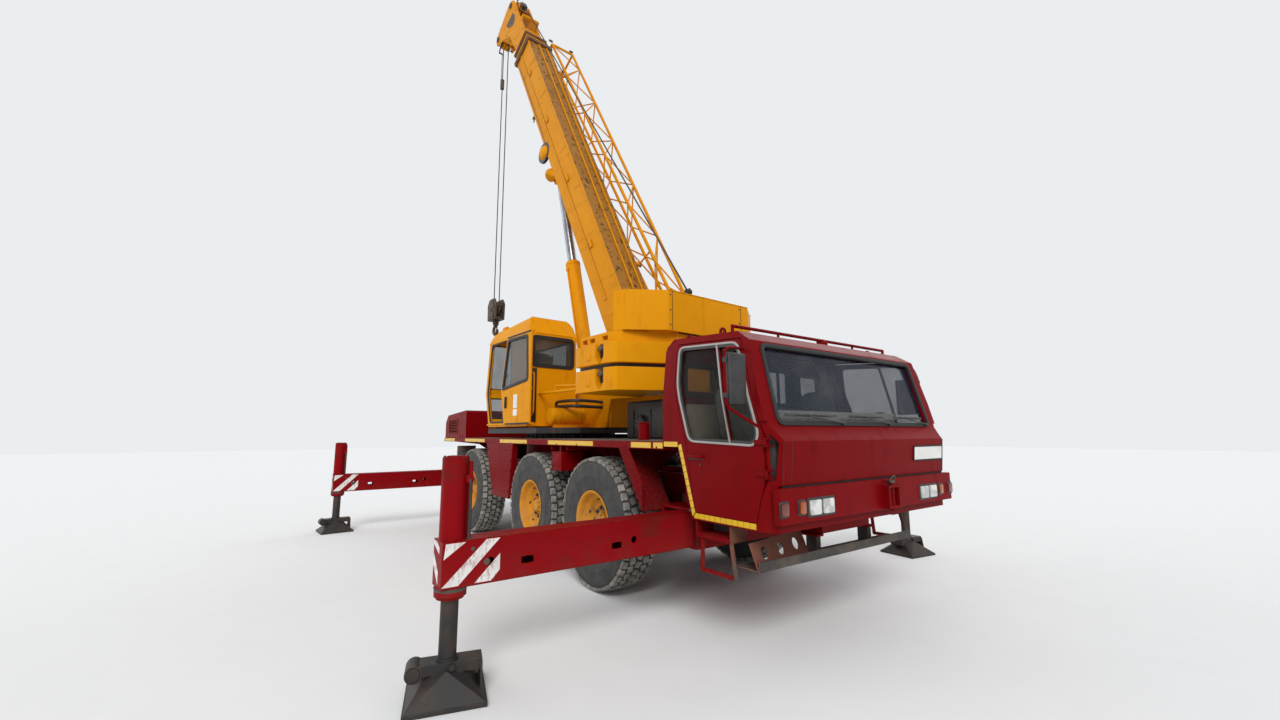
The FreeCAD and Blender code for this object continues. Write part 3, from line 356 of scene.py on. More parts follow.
def makeTread(name, look):
    # raised lozenges that alternate in direction, with dirt between them
    shade = Shade(name)
    turned = shade.place((1, 1, 1), look["turn"])
    pick = shade.node("ShaderNodeTexChecker", {}, {"Vector": turned, "Scale": look["scale"]}, out="Fac")
    one = shade.node("ShaderNodeTexWave", {"bands_direction": "DIAGONAL"},
                     {"Vector": turned, "Scale": look["scale"] * 0.5})
    other = shade.node("ShaderNodeTexWave", {"bands_direction": "DIAGONAL"},
                       {"Vector": shade.place((-1, 1, 1), look["turn"]), "Scale": look["scale"] * 0.5})
    raised = (one * pick + other * (1.0 - pick)).ramp(0.72, 0.9)
    patch = shade.noise(2.4, 5.0, 0.6)
    fine = shade.noise(40.0, 4.0, 0.7)
    colour = shade.mix(patch.ramp(0.35, 0.75), look["colour"], look["worn"])
    colour = shade.mix((fine.ramp(0.45, 0.7) * (1.0 - raised) * 0.7).clamp(), colour, look["dirt"])
    colour = shade.mix((raised * fine.ramp(0.4, 0.6) * 0.35).clamp(), colour, look["rubbed"])
    return shade.finish(colour=colour, rough=(0.75 + patch * 0.20 - raised * 0.10).clamp(), specular=0.05,
                        normal=shade.bump(raised + fine * 0.2, 0.6, 0.003))


seatCloth = makeCloth()
treadPlate = makeTread("deck_tread_plate", {
    "colour": (0.150, 0.145, 0.120), "worn": (0.115, 0.060, 0.045), "dirt": (0.070, 0.060, 0.045),
    "rubbed": (0.30, 0.29, 0.26), "scale": 30.0, "turn": (0, 0, 0)})
redTread = makeTread("red_tread_plate", {
    "colour": (0.165, 0.0020, 0.0050), "worn": (0.120, 0.012, 0.010), "dirt": (0.070, 0.020, 0.014),
    "rubbed": (0.24, 0.05, 0.04), "scale": 34.0, "turn": (radians(90), 0, 0)})


def makeSheet(name, colour, dull, amount):
    # thin painted or printed sheet, scuffed and a little dirty
    shade = Shade(name)
    scuffs = shade.noise(16.0, 5.0, 0.7, shade.place((1, 3, 1)))
    film = shade.noise(3.0, 3.0)
    mixed = shade.mix(scuffs.ramp(0.50, 0.62) * amount, colour, dull)
    mixed = shade.mix(film.ramp(0.4, 0.8) * 0.3, mixed, dull)
    return shade.finish(colour=mixed, rough=(0.4 + scuffs * 0.25).clamp(), specular=0.3,
                        normal=shade.bump(scuffs, 0.1, 0.001))


plateWhite = makeSheet("blank_white_plate", (0.78, 0.78, 0.75), (0.42, 0.39, 0.34), 0.25)
stripeWhite = makeSheet("worn_white_stripes", (0.76, 0.75, 0.72), (0.235, 0.040, 0.034), 0.50)


def makeMirror():
    shade = Shade("mirror_glass")
    film = shade.noise(6.0, 4.0, 0.6)
    return shade.finish(colour=(0.62, 0.64, 0.66), rough=(0.03 + film.ramp(0.45, 0.8) * 0.18).clamp(),
                        metal=1.0,
                        normal=shade.bump(film, 0.02, 0.001))


mirrorGlass = makeMirror()


def makeGlass(name, tint, cover, gloss):
    # dusty window glass: dark, mostly clear, with patches of dirt haze and specks
    shade = Shade(name)
    haze = shade.noise(2.2, 4.0, 0.6)
    specks = shade.noise(90.0, 2.0, 0.6)
    dirt = (haze.ramp(0.45, 0.8) * 0.16 + specks.ramp(0.62, 0.72) * 0.10).clamp()
    colour = shade.mix(dirt, tint, (0.30, 0.28, 0.25))
    return shade.finish(colour=colour, rough=(0.04 + dirt * 0.5).clamp(), alpha=(cover + dirt * 0.6).clamp(),
                        specular=gloss)


cabGlass = makeGlass("carrier_window_glass", (0.012, 0.020, 0.038), 0.42, 0.35)
doorGlass = makeGlass("door_window_glass", (0.010, 0.010, 0.010), 0.30, 0.10)
craneGlass = makeGlass("operator_window_glass", (0.030, 0.050, 0.055), 0.45, 0.35)


def makeLens(name, clear, deep, glow):
    shade = Shade(name)
    flutes = shade.node("ShaderNodeTexWave", {"bands_direction": "Y"}, {"Vector": shade.pos, "Scale": 26.0})
    bowl = shade.noise(9.0, 2.0)
    colour = shade.mix((flutes * 0.25 + bowl.ramp(0.42, 0.62) * 0.6).clamp(), clear, deep)
    return shade.finish(colour=colour, rough=0.15, coat=0.5, coatRough=0.06, glow=glow, glowColour=clear,
                        normal=shade.bump(flutes, 0.25, 0.002))


clearLens = makeLens("headlamp_lens", (0.72, 0.72, 0.68), (0.28, 0.28, 0.27), 0.0)
amberLens = makeLens("indicator_lens", (0.34, 0.070, 0.004), (0.16, 0.028, 0.003), 0.0)
darkAmberLens = makeLens("marker_lens", (0.170, 0.018, 0.005), (0.080, 0.008, 0.003), 0.0)
redLens = makeLens("tail_lamp_lens", (0.50, 0.010, 0.010), (0.22, 0.004, 0.004), 0.0)


def makeTape(name, bright, dull):
    # reflective tape: fine cells and scuffed patches
    shade = Shade(name)
    cells = shade.node("ShaderNodeTexVoronoi", {}, {"Vector": shade.pos, "Scale": 160.0}, out="Distance")
    worn = shade.noise(14.0, 5.0, 0.65)
    colour = shade.mix((cells.ramp(0.2, 0.6) * 0.35).clamp(), bright, dull)
    colour = shade.mix(worn.ramp(0.55, 0.75) * 0.6, colour, dull)
    return shade.finish(colour=colour, rough=(0.3 + worn * 0.3).clamp(), coat=0.3,
                        normal=shade.bump(cells, 0.12, 0.001))


yellowTape = makeTape("yellow_reflective_tape", (0.76, 0.46, 0.006), (0.48, 0.26, 0.012))
chromeRod = makeRodSteel()
print("materials made")


# mesh helpers
planes = {"XZ": lambda p, d: Vector((p[0], d, p[1])), "XY": lambda p, d: Vector((p[0], p[1], d)),
          "YZ": lambda p, d: Vector((d, p[0], p[1]))}


def addBox(bm, low, high, soft=0.0, steps=2):
    verts = bmesh.ops.create_cube(bm, size=1)["verts"]
    low, high = Vector(low), Vector(high)
    bmesh.ops.scale(bm, vec=high - low, verts=verts)
    bmesh.ops.translate(bm, vec=(high + low) / 2, verts=verts)
    if soft:
        softenEdges(bm, verts, soft, steps)
    return verts


def addSideBox(bm, side, low, high, soft=0.0, steps=2):
    # box given for the +Y side; side -1 puts it on the other
    y0, y1 = sorted((side * low[1], side * high[1]))
    addBox(bm, (low[0], y0, low[2]), (high[0], y1, high[2]), soft, steps)


def boxLine(x0, z0, x1, z1):
    # rectangle from its low and high corner, as an outline
    return [(x0, z0), (x1, z0), (x1, z1), (x0, z1)]


def ringSpots(count, r, shift=0.0):
    # points evenly spaced on a circle
    turns = [2 * pi * (k + shift) / count for k in range(count)]
    return [(r * cos(a), r * sin(a)) for a in turns]


def softenEdges(bm, verts, width, steps=2):
    chosen = set(verts)
    bm.normal_update()
    edges = [e for e in bm.edges
             if e.verts[0] in chosen and e.verts[1] in chosen and e.calc_face_angle(0) > 0.5]
    bmesh.ops.bevel(bm, geom=edges, offset=width, offset_type="OFFSET", affect="EDGES", segments=steps,
                    profile=0.5,
                    material=-1, clamp_overlap=True)


def aim(a, b):
    # place whose Z axis runs from a to b, with its origin half way
    a, b = Vector(a), Vector(b)
    turn = (b - a).to_track_quat("Z", "Y").to_matrix().to_4x4()
    return Matrix.Translation((a + b) / 2) @ turn


def addRod(bm, a, b, r, sides=20, r2=None):
    length = (Vector(b) - Vector(a)).length
    return bmesh.ops.create_cone(bm, cap_ends=True, segments=sides, radius1=r,
                                 radius2=r if r2 is None else r2,
                                 depth=length, matrix=aim(a, b))["verts"]


def addPlate(bm, outline, a, b, flat="XZ", soft=0.0, steps=2):
    # flat plate: outline in one plane, from a to b across it
    verts = [bm.verts.new(planes[flat](p, a)) for p in outline]
    face = bm.faces.new(verts)
    grown = bmesh.ops.extrude_face_region(bm, geom=[face])["geom"]
    moved = [v for v in grown if isinstance(v, bmesh.types.BMVert)]
    bmesh.ops.translate(bm, vec=planes[flat]((0, 0), b - a), verts=moved)
    if soft:
        softenEdges(bm, verts + moved, soft, steps)
    return verts + moved


def rounded(outline, r, steps=3):
    # the outline with its corners taken round
    out = []
    for n, corner in enumerate(outline):
        at = Vector(corner)
        before, after = Vector(outline[n - 1]) - at, Vector(outline[(n + 1) % len(outline)]) - at
        reach = min(r, before.length / 2, after.length / 2)
        a, b = before.normalized() * reach, after.normalized() * reach
        for k in range(steps + 1):
            t = k / steps
            out.append(tuple(at + a * (1 - t) ** 2 + b * t ** 2))
    return out


def addFrame(bm, outline, width, a, b, flat="XZ", soft=0.0):
    # flat ring of one width along the inside of an outline, from a to b across it
    face = bm.faces.new([bm.verts.new(planes[flat](p, a)) for p in outline])
    face.normal_update()
    ring = bmesh.ops.inset_region(bm, faces=[face], thickness=width, use_boundary=True,
                                  use_even_offset=True)["faces"]
    bmesh.ops.delete(bm, geom=[face], context="FACES_ONLY")
    grown = bmesh.ops.extrude_face_region(bm, geom=ring)["geom"]
    moved = [v for v in grown if isinstance(v, bmesh.types.BMVert)]
    bmesh.ops.translate(bm, vec=planes[flat]((0, 0), b - a), verts=moved)
    if soft:
        softenEdges(bm, moved, soft)


def addTurned(bm, profile, centre=(0, 0, 0), steps=48):
    # turned about a line along Y: profile is (radius, y)
    verts = [bm.verts.new((r, y, 0)) for r, y in profile]
    edges = [bm.edges.new(pair) for pair in zip(verts[:-1], verts[1:])]
    if profile[0][0] > 0 and profile[-1][0] > 0:
        edges.append(bm.edges.new((verts[-1], verts[0])))
    before = set(bm.verts) - set(verts)
    bmesh.ops.spin(bm, geom=verts + edges, cent=(0, 0, 0), axis=(0, 1, 0), angle=2 * pi, steps=steps,
                   use_merge=True)
    made = [v for v in bm.verts if v not in before]
    bmesh.ops.remove_doubles(bm, verts=made, dist=1e-5)
    made = [v for v in bm.verts if v not in before]
    bmesh.ops.translate(bm, vec=centre, verts=made)
    return made


def setFinish(bm, before, index):
    # faces made since the set 'before' was taken get this material
    for face in bm.faces:
        if face not in before:
            face.material_index = index


def makePiece(name, bm, body, finishes, place=None, smooth=35, stands=()):
    if place is not None:
        bmesh.ops.transform(bm, matrix=place, verts=bm.verts)
    bmesh.ops.recalc_face_normals(bm, faces=bm.faces)
    mesh = bpy.data.meshes.new(name)
    bm.to_mesh(mesh)
    bm.free()
    return ready(name, mesh, body, finishes, smooth, stands)


def ready(name, mesh, body, finishes, smooth=35, stands=()):
    mesh.name = name
    for finish in finishes if isinstance(finishes, (list, tuple)) else [finishes]:
        mesh.materials.append(finish)
    if smooth:
        mesh.shade_smooth()
        mesh.set_sharp_from_angle(angle=radians(smooth))
    thing = bpy.data.objects.new(name, mesh)
    scene.collection.objects.link(thing)
    if body:
        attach(thing, body)
    if stands:
        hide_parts(*stands)
    return thing


def makePipe(name, points, r, body, finish, place=None, cyclic=False):
    # round bar or hose along a smooth line through its control points
    curve = bpy.data.curves.new(name, "CURVE")
    curve.dimensions = "3D"
    curve.bevel_depth = r
    curve.bevel_resolution = 6
    curve.resolution_u = 8
    curve.use_fill_caps = True
    line = curve.splines.new("NURBS")
    line.points.add(len(points) - 1)
    for spot, p in zip(line.points, points):
        spot.co = (*p, 1)
    line.order_u = 3
    line.use_endpoint_u = not cyclic
    line.use_cyclic_u = cyclic
    holder = bpy.data.objects.new(name, curve)
    mesh = bpy.data.meshes.new_from_object(holder)
    bpy.data.objects.remove(holder)
    bpy.data.curves.remove(curve)
    if place is not None:
        mesh.transform(place)
    mesh.materials.clear()
    return ready(name, mesh, body, finish, 60)


def softCopy(node, finish, width, pick=None):
    # the node's own shape with merged faces and rounded edges; pick gives a face's finish
    source = nodes[node]
    bm = bmesh.new()
    bm.from_mesh(source.data)
    bmesh.ops.remove_doubles(bm, verts=bm.verts, dist=2e-5)
    bmesh.ops.dissolve_limit(bm, angle_limit=radians(0.5), verts=bm.verts, edges=bm.edges,
                             use_dissolve_boundaries=False)
    if pick:
        for face in bm.faces:
            face.material_index = pick(face)
    mesh = bpy.data.meshes.new(node + "_shell")
    bm.to_mesh(mesh)
    bm.free()
    thing = ready(node + "_shell", mesh, source["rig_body"], finish, None, (node,))
    soften = thing.modifiers.new("soften", "BEVEL")
    soften.width = width
    soften.segments = 2
    soften.limit_method = "ANGLE"
    soften.angle_limit = radians(30)
    soften.harden_normals = False
    mesh.shade_smooth()
    keep = thing.modifiers.new("shade", "WEIGHTED_NORMAL")
    keep.keep_sharp = True
    mesh.set_sharp_from_angle(angle=radians(60))


def finishNode(node, finish):
    source = nodes[node]
    source.data.materials.clear()
    source.data.materials.append(finish)


# carried-over nodes get their finish first; the pieces below replace some of them
finishOf = {
    "tyre": wallRubber, "rim": rimYellow, "knuckle": castIronAndShade, "axles": castIronAndShade, "chassis_frame": beamRed,
    "outrigger_beam": beamRed, "jack": footSteel, "deck": crimson, "side_guards": crimson,
    "rear_hood": crimson,
    "engine_block": castIronAndShade, "carrier_cab": crimson, "cab_glass": cabGlass, "cab_door_glass": doorGlass,
    "cab_door": crimson, "cab_interior": darkTrim, "front_bumper": crimson, "lamps": clearLens,
    "roof_rail": crimson,
    "mirror": crimson, "access_steps": crimson, "turntable": yellow, "counterweight": yellow,
    "tail_housing": yellow,
    "winch_drum": ropeSteel, "operator_cab_glass": craneGlass, "operator_cab": yellow,
    "operator_door_glass": craneGlass,
    "operator_door": yellow, "operator_seat": darkTrim, "boom": boomYellow, "jib": boomYellow,
    "luff_barrel": yellow,
    "luff_rod": chromeRod, "limit_weight": hookBlack, "hook_block": hookBlack}
for node in nodes:
    key = max((k for k in finishOf if node.startswith(k)), key=len)
    finishNode(node, finishOf[key])
print("nodes finished")


# tyres with their tread, in the wheel's own frame: axle along Y, outer side towards +Y
tyreSizes = {"r": 0.685, "inner": 0.875, "outer": 1.248, "rim": 0.312, "groove": 0.013, "pitches": 44,
             "steps": 88}


def tyreBody(bm):
    t = tyreSizes
    a, b = t["inner"], t["outer"]
    base = t["r"] - t["groove"]
    wall = [(t["rim"], b - 0.014), (t["rim"] + 0.022, b - 0.016), (t["rim"] + 0.030, b - 0.008),
            (t["rim"] + 0.060, b - 0.004),
            (0.430, b + 0.004), (0.480, b + 0.007), (0.492, b + 0.011), (0.500, b + 0.007),
            (0.560, b + 0.005),
            (0.600, b - 0.002), (0.630, b - 0.010), (0.650, b - 0.022), (base - 0.004, b - 0.040)]
    mid = (a + b) / 2
    crown = [(base, b - 0.075), (base + 0.001, mid)]
    other = [(r, a + b - y) for r, y in reversed(wall + crown[:1])]
    addTurned(bm, wall + crown + other, steps=t["steps"])


def tyreBlocks(bm):
    # five rows of blocks; the rows next to each other stand half a pitch apart
    t = tyreSizes
    step = 2 * pi / t["pitches"]
    rows = [(-0.156, 0.050, 0.00, 0.070, 0.12), (-0.080, 0.058, 0.45, 0.066, 0.30),
            (0.0, 0.056, 0.0, 0.066, -0.30),
            (0.080, 0.058, 0.55, 0.066, 0.30), (0.156, 0.050, 0.10, 0.070, -0.12)]
    mid = (t["inner"] + t["outer"]) / 2
    for n in range(t["pitches"]):
        for y, wide, shift, long, lean in rows:
            outer = abs(y) > 0.1
            verts = bmesh.ops.create_cube(bm, size=1)["verts"]
            top = t["r"] - (0.006 if outer else 0.0)
            deep = 0.040 if outer else 0.022
            bmesh.ops.scale(bm, vec=(long, wide, deep), verts=verts)
            for v in verts:
                if v.co.z < 0:
                    v.co.x *= 1.06
                    v.co.y *= 1.06
                elif outer and v.co.y * y > 0:
                    v.co.z -= 0.010
            bmesh.ops.rotate(bm, cent=(0, 0, 0), matrix=Matrix.Rotation(lean, 3, "Z"), verts=verts)
            bmesh.ops.translate(bm, vec=(0, mid + y, top - deep / 2), verts=verts)
            bmesh.ops.rotate(bm, cent=(0, 0, 0), matrix=Matrix.Rotation((n + shift) * step, 3, "Y"),
                             verts=verts)


def rimBody(bm):
    # drop-centre rim, deep dished disc and the planetary hub
    b = tyreSizes["outer"]
    profile = [(0.290, 0.877), (0.330, 0.877), (0.330, 0.887), (0.312, 0.890), (0.300, 0.930),
               (0.300, b - 0.060),
               (0.312, b - 0.016), (0.330, b - 0.012), (0.334, b - 0.005), (0.330, b - 0.001),
               (0.318, b - 0.002),
               (0.304, b - 0.010), (0.292, b - 0.030), (0.286, 1.176), (0.278, 1.166), (0.262, 1.160),
               (0.250, 1.152),
               (0.236, 1.130), (0.224, 1.112), (0.210, 1.101), (0.190, 1.0985), (0.066, 1.0985),
               (0.066, 1.080),
               (0.192, 1.080), (0.266, 1.146), (0.288, 1.150)]
    addTurned(bm, profile, steps=72)
    addTurned(bm, [(0.0, 1.141), (0.061, 1.141), (0.061, 1.099), (0.098, 1.099), (0.098, 1.132),
                   (0.092, 1.142),
                   (0.078, 1.150), (0.072, 1.160), (0.062, 1.168), (0.030, 1.170), (0.0, 1.170)], steps=40)


def rimBolts(bm):
    # washers, nuts and studs, the hub's screws, then dark discs in place of the hand holes in the disc:
    # painted shade, no hole is cut
    for x, z in ringSpots(10, 0.142):
        addRod(bm, (x, 1.097, z), (x, 1.103, z), 0.026, 16)
        addRod(bm, (x, 1.103, z), (x, 1.120, z), 0.0175, 6)
        addRod(bm, (x, 1.120, z), (x, 1.132, z), 0.010, 10)
    for x, z in ringSpots(8, 0.082, 0.5):
        addRod(bm, (x, 1.142, z), (x, 1.154, z), 0.008, 6)
    for x, z in ringSpots(6, 0.243, 0.25):
        addRod(bm, (x, 1.128, z), (x, 1.1435, z), 0.019, 14)


for axle, x in enumerate(axleSpots):
    for label, side in (("left", 1), ("right", -1)):
        tag = str(axle + 1) + "_" + label
        place = axlePlace @ Matrix.Translation((x, 0,
                                                tyreSizes["r"])) @ Matrix.Rotation(0 if side > 0 else pi, 4,
                                                                                   "Z")
        place = place @ Matrix.Rotation(radians(17 * axle + 5 * side), 4, "Y")
        bm = bmesh.new()
        tyreBody(bm)
        for face in bm.faces:
            away = Vector((face.calc_center_median().x, 0, face.calc_center_median().z)).length
            face.material_index = 1 if away > 0.655 else 0
        made = set(bm.faces)
        tyreBlocks(bm)
        setFinish(bm, made, 2)
        makePiece("tyre_tread_" + tag, bm, "wheel_" + tag, (wallRubber, grooveRubber, treadRubber), place, 32,
                  ("tyre_" + tag,))
        bm = bmesh.new()
        rimBody(bm)
        made = set(bm.faces)
        rimBolts(bm)
        setFinish(bm, made, 1)
        makePiece("rim_dish_" + tag, bm, "wheel_" + tag, (rimYellow, castIronAndShade), place, 32, ("rim_" + tag,))
print("wheels made")


# shells with rounded edges in place of the plain solids
for node, finish, width in (
        ("carrier_cab", crimson, 0.010), ("cab_door_left", crimson, 0.006),
    ("cab_door_right", crimson, 0.006),
        ("front_bumper", crimson, 0.006), ("tail_housing", yellow, 0.006),
        ("operator_cab", yellow, 0.012), ("operator_door", yellow, 0.006), ("rear_hood", crimson, 0.010),
        ("side_guards", crimson, 0.003)):
    softCopy(node, finish, width)
boomBack = boomPlace.inverted()
boomUp = boomPlace.to_3x3() @ Vector((0, 0, 1))


def boomFinish(face):
    # rusty collar at the outer end, streaked top face
    if (boomBack @ face.calc_center_median()).x > 7.64:
        return 2
    return 1 if face.normal.dot(boomUp) > 0.8 else 0


def stepFinish(face):
    # rusty plate with three holes, dark tray, red steps
    at = face.calc_center_median() - Vector((axleShift, 0, 0))
    if 2.0 < at.x < 2.2535 and at.z > 0.6485 and at.y < -0.41:
        return 1
    return 2 if at.x > 2.03 and at.z < 0.79 else 0


softCopy("boom_base", (boomYellow, boomTop, rustyCollar), 0.008, boomFinish)
softCopy("boom_middle", (boomYellow, boomTop, rustyCollar), 0.006,
         lambda face: 2 if (boomBack @ face.calc_center_median()).x > 7.95 else 0)
softCopy("access_steps", (crimson, rustyPlate, blackPaintAndShade), 0.003, stepFinish)
softCopy("turntable", (yellow, blackPaintAndShade), 0.004,
         lambda face: 1 if face.calc_center_median().z < 1.70 else 0)
# the upright faces in the slot between the two slabs are black: painted shade in the gap
softCopy("counterweight", (yellow, blackPaintAndShade), 0.010,
         lambda face: 1 if 2.352 < face.calc_center_median().z < 2.399 and abs(face.normal.z) < 0.3 else 0)
print("shells rounded")


# trims and fittings of the carrier's cab, made in the axle frame; its sides lean in above the shoulder
cabSizes = {
    "trim": [(1.424, 2.368), (2.130, 2.319), (2.349, 1.603), (2.302, 1.517), (1.580, 1.543), (1.424, 2.038)],
    "pane": [(1.440, 2.350), (2.118, 2.302), (2.330, 1.606), (2.292, 1.535), (1.592, 1.560), (1.440, 2.040)],
    "shoulder": 1.9, "lean": 0.1023,
    "rearPanes": [(-1.010, -0.640, 1.960, 2.250), (-0.480, 0.480, 1.900, 2.280),
                  (0.640, 1.010, 1.960, 2.250)]}
shieldPlace = axlePlace @ Matrix.Translation((2.408, 0, 1.665)) @ Matrix.Rotation(radians(-14.49), 4, "Y")
facePlace = axlePlace @ Matrix.Translation((2.468, 0, 1.252)) @ Matrix.Rotation(radians(4.87), 4, "Y")


def leanIn(bm):
    high = cabSizes["shoulder"]
    bmesh.ops.bisect_plane(bm, geom=bm.verts[:] + bm.edges[:] + bm.faces[:], plane_co=(0, 0, high),
                           plane_no=(0, 0, 1))
    for v in bm.verts:
        if v.co.z > high:
            v.co.y -= (v.co.z - high) * cabSizes["lean"]


def doorTrim(bm):
    addFrame(bm, rounded(cabSizes["trim"], 0.07), 0.017, 1.244, 1.258, "XZ", 0.004)
    addPlate(bm, [(1.884, 2.335), (1.899, 2.335), (2.065, 1.535), (2.050, 1.535)], 1.246, 1.257, "XZ", 0.003)
    made = set(bm.faces)
    addFrame(bm, rounded(cabSizes["pane"], 0.06), 0.020, 1.232, 1.250, "XZ")
    addBox(bm, (1.575, 1.249, 1.404), (1.765, 1.2525, 1.420), 0.001)
    addRod(bm, (1.722, 1.249, 1.365), (1.722, 1.256, 1.365), 0.011, 16)
    setFinish(bm, made, 1)
    made = set(bm.faces)
    addBox(bm, (1.585, 1.250, 1.414), (1.755, 1.274, 1.444), 0.006)
    setFinish(bm, made, 2)
    leanIn(bm)


def shieldTrim(bm):
    outline = [(-1.128, 0.002), (1.128, 0.002), (1.108, 0.656), (-1.108, 0.656)]
    addFrame(bm, rounded(outline, 0.08, 5), 0.036, -0.010, 0.012, "YZ", 0.005)


def wipers(bm):
    for tip, foot in ((-1.04, -0.34), (-0.23, 0.36), (0.46, 1.02)):
        addRod(bm, (0.004, foot, 0.018), (0.034, foot, 0.018), 0.013, 14)
        addRod(bm, (0.030, foot, 0.018), (0.034, tip * 0.62 + foot * 0.38, 0.070), 0.006, 8)
        addBox(bm, (0.018, tip, 0.068), (0.026, foot - 0.06, 0.088), 0.002)
        addRod(bm, (0.030, tip * 0.8 + foot * 0.2, 0.078), (0.030, tip * 0.25 + foot * 0.75, 0.078), 0.005, 8)


def frontFace(bm):
    addPlate(bm, rounded(boxLine(0.620, 0.122, 1.140, 0.238), 0.012), 0.001, 0.007, "YZ")
    made = set(bm.faces)
    addFrame(bm, rounded(boxLine(0.610, 0.112, 1.150, 0.248), 0.016), 0.012, 0.0, 0.011, "YZ", 0.002)
    for side in (-1, 1):
        for y in (1.076, 1.168):
            y *= side
            addBox(bm, (-0.004, y - 0.0022, 0.006), (0.0012, y + 0.0022, 0.300))
    addBox(bm, (-0.040, -1.165, -0.018), (-0.006, 1.165, 0.000))
    setFinish(bm, made, 1)


for label, side in (("left", 1), ("right", -1)):
    bm = bmesh.new()
    doorTrim(bm)
    bmesh.ops.scale(bm, vec=(1, side, 1), verts=bm.verts)
    makePiece("door_trim_" + label, bm, "door_" + label, (paleTrim, blackPlastic, crimson), axlePlace)
for name, shape, finish, place in (("windscreen_rubber", shieldTrim, sealRubberAndShade, shieldPlace),
                                   ("wiper_set", wipers, blackPlastic, shieldPlace),
                                   ("front_plate", frontFace, (plateWhite, sealRubberAndShade), facePlace)):
    bm = bmesh.new()
    shape(bm)
    makePiece(name, bm, "carrier", finish, place)

bm = bmesh.new()
for y0, y1, z0, z1 in cabSizes["rearPanes"]:
    edge = boxLine(y0 - 0.014, z0 - 0.014, y1 + 0.014, z1 + 0.014)
    addFrame(bm, rounded(edge, 0.07, 4), 0.040, 1.234, 1.282, "YZ", 0.004)
addBox(bm, (1.246, 0.300, 1.905), (1.272, 0.322, 2.275), 0.003)
makePiece("rear_pane_rubber", bm, "carrier", sealRubberAndShade, axlePlace)


# lamps: square headlamps, indicators and corner markers in front, long clusters behind
def lampCell(bm, x, deep, y, z, half, high, index):
    made = set(bm.faces)
    lo, hi = sorted((x, x + deep))
    addPlate(bm, rounded(boxLine(y - half, z - high, y + half, z + high), 0.014), lo, hi, "YZ", 0.004)
    setFinish(bm, made, index)


lampRows = [  # x, depth, |y|, z, half width, half height, finish
    (2.502, 0.014, 0.716, 1.090, 0.066, 0.052, 0), (2.502, 0.014, 0.870, 1.090, 0.066, 0.052, 0),
    (2.502, 0.018, 1.018, 1.098, 0.030, 0.042, 1), (2.502, 0.014, 1.206, 1.098, 0.036, 0.042, 4),
    (-5.811, 0.010, 0.735, 0.810, 0.048, 0.044, 0), (-5.811, 0.010, 0.840, 0.810, 0.048, 0.044, 2),
    (-5.811, 0.010, 0.945, 0.810, 0.048, 0.044, 1)]
bm = bmesh.new()
for side in (-1, 1):
    for x, deep, y, z, half, high, index in lampRows:
        lampCell(bm, x, deep, side * y, z, half, high, index)
    made = set(bm.faces)
    for y, half, mid, high in ((0.793, 0.162, 1.090, 0.068), (1.018, 0.042, 1.098, 0.056),
                               (1.206, 0.048, 1.098, 0.055)):
        edge = boxLine(side * y - half, mid - high, side * y + half, mid + high)
        addPlate(bm, rounded(edge, 0.015), 2.497, 2.504, "YZ", 0.002)
    addPlate(bm, rounded(boxLine(side * 0.84 - 0.160, 0.760, side * 0.84 + 0.160, 0.860), 0.012), -5.803,
             -5.786,
             "YZ", 0.003)
    setFinish(bm, made, 3)
makePiece("lamp_set", bm, "carrier", (clearLens, amberLens, redLens, blackPlastic, darkAmberLens), axlePlace,
          35, ("lamps",))

# tow pin, roof lamp, and the cases and small cylinder behind the cab
bm = bmesh.new()
addRod(bm, (2.535, 0.120, 1.205), (2.535, 0.120, 1.228), 0.026, 20)
made = set(bm.faces)
addRod(bm, (1.990, 0.067, 2.420), (1.990, 0.067, 2.452), 0.050, 24)
addRod(bm, (1.990, 0.067, 2.452), (1.990, 0.067, 2.480), 0.042, 24, 0.020)
for side in (-1, 1):
    addSideBox(bm, side, (1.222, 0.760, 0.966), (1.418, 0.990, 1.190), 0.012, 3)
    addRod(bm, (1.250, side * 0.900, 1.190), (1.250, side * 0.900, 1.420), 0.012, 12)
    addRod(bm, (1.330, side * 0.880, 1.188), (1.330, side * 0.880, 1.245), 0.040, 20)
addRod(bm, (0.610, -1.000, 1.548), (0.610, -1.000, 1.715), 0.056, 32)
addRod(bm, (0.610, -1.000, 1.713), (0.610, -1.000, 1.728), 0.062, 32, 0.052)
setFinish(bm, made, 1)
makePiece("carrier_fittings", bm, "carrier", (castIronAndShade, crimson), axlePlace)
makePipe("tow_pin_grip", [(2.535, 0.150, 1.220), (2.560, 0.150, 1.262), (2.560, 0.090, 1.262),
                          (2.535, 0.090, 1.220)], 0.006,
         "carrier", castIronAndShade, axlePlace)


# segments of reflective tape along a line on the cab's side
def addTape(bm, line, y, width, block, gap):
    for a, b in zip(line[:-1], line[1:]):
        a, b = Vector(a), Vector(b)
        along = (b - a).normalized()
        count = max(1, round((b - a).length / (block + gap)))
        step = (b - a).length / count
        for n in range(count):
            verts = bmesh.ops.create_cube(bm, size=1)["verts"]
            bmesh.ops.scale(bm, vec=(step - gap, 0.0016, width), verts=verts)
            bmesh.ops.rotate(bm, cent=(0, 0, 0), matrix=Matrix.Rotation(-atan2(along.y, along.x), 3, "Y"),
                             verts=verts)
            spot = a + along * step * (n + 0.5)
            bmesh.ops.translate(bm, vec=(spot.x, y, spot.y), verts=verts)


bandBlocks = [(1.235, 1.095), (1.062, 0.743), (0.026, -1.076), (-1.723, -2.727), (-3.400, -4.420),
              (-5.050, -5.700)]
bm = bmesh.new()
for side in (-1, 1):
    addTape(bm, [(1.466, 1.522), (1.636, 0.962), (2.290, 0.962)], side * 1.2512, 0.040, 0.055, 0.004)
    addTape(bm, [(1.250, 1.522), (1.440, 1.522)], side * 1.2512, 0.042, 0.19, 0.004)
    for x0, x1 in bandBlocks:
        addTape(bm, [(x1, 1.509), (x0, 1.509)], side * 1.2512, 0.050, x0 - x1, 0.003)
makePiece("reflective_tape", bm, "carrier", yellowTape, axlePlace, None)
print("cab fittings made")


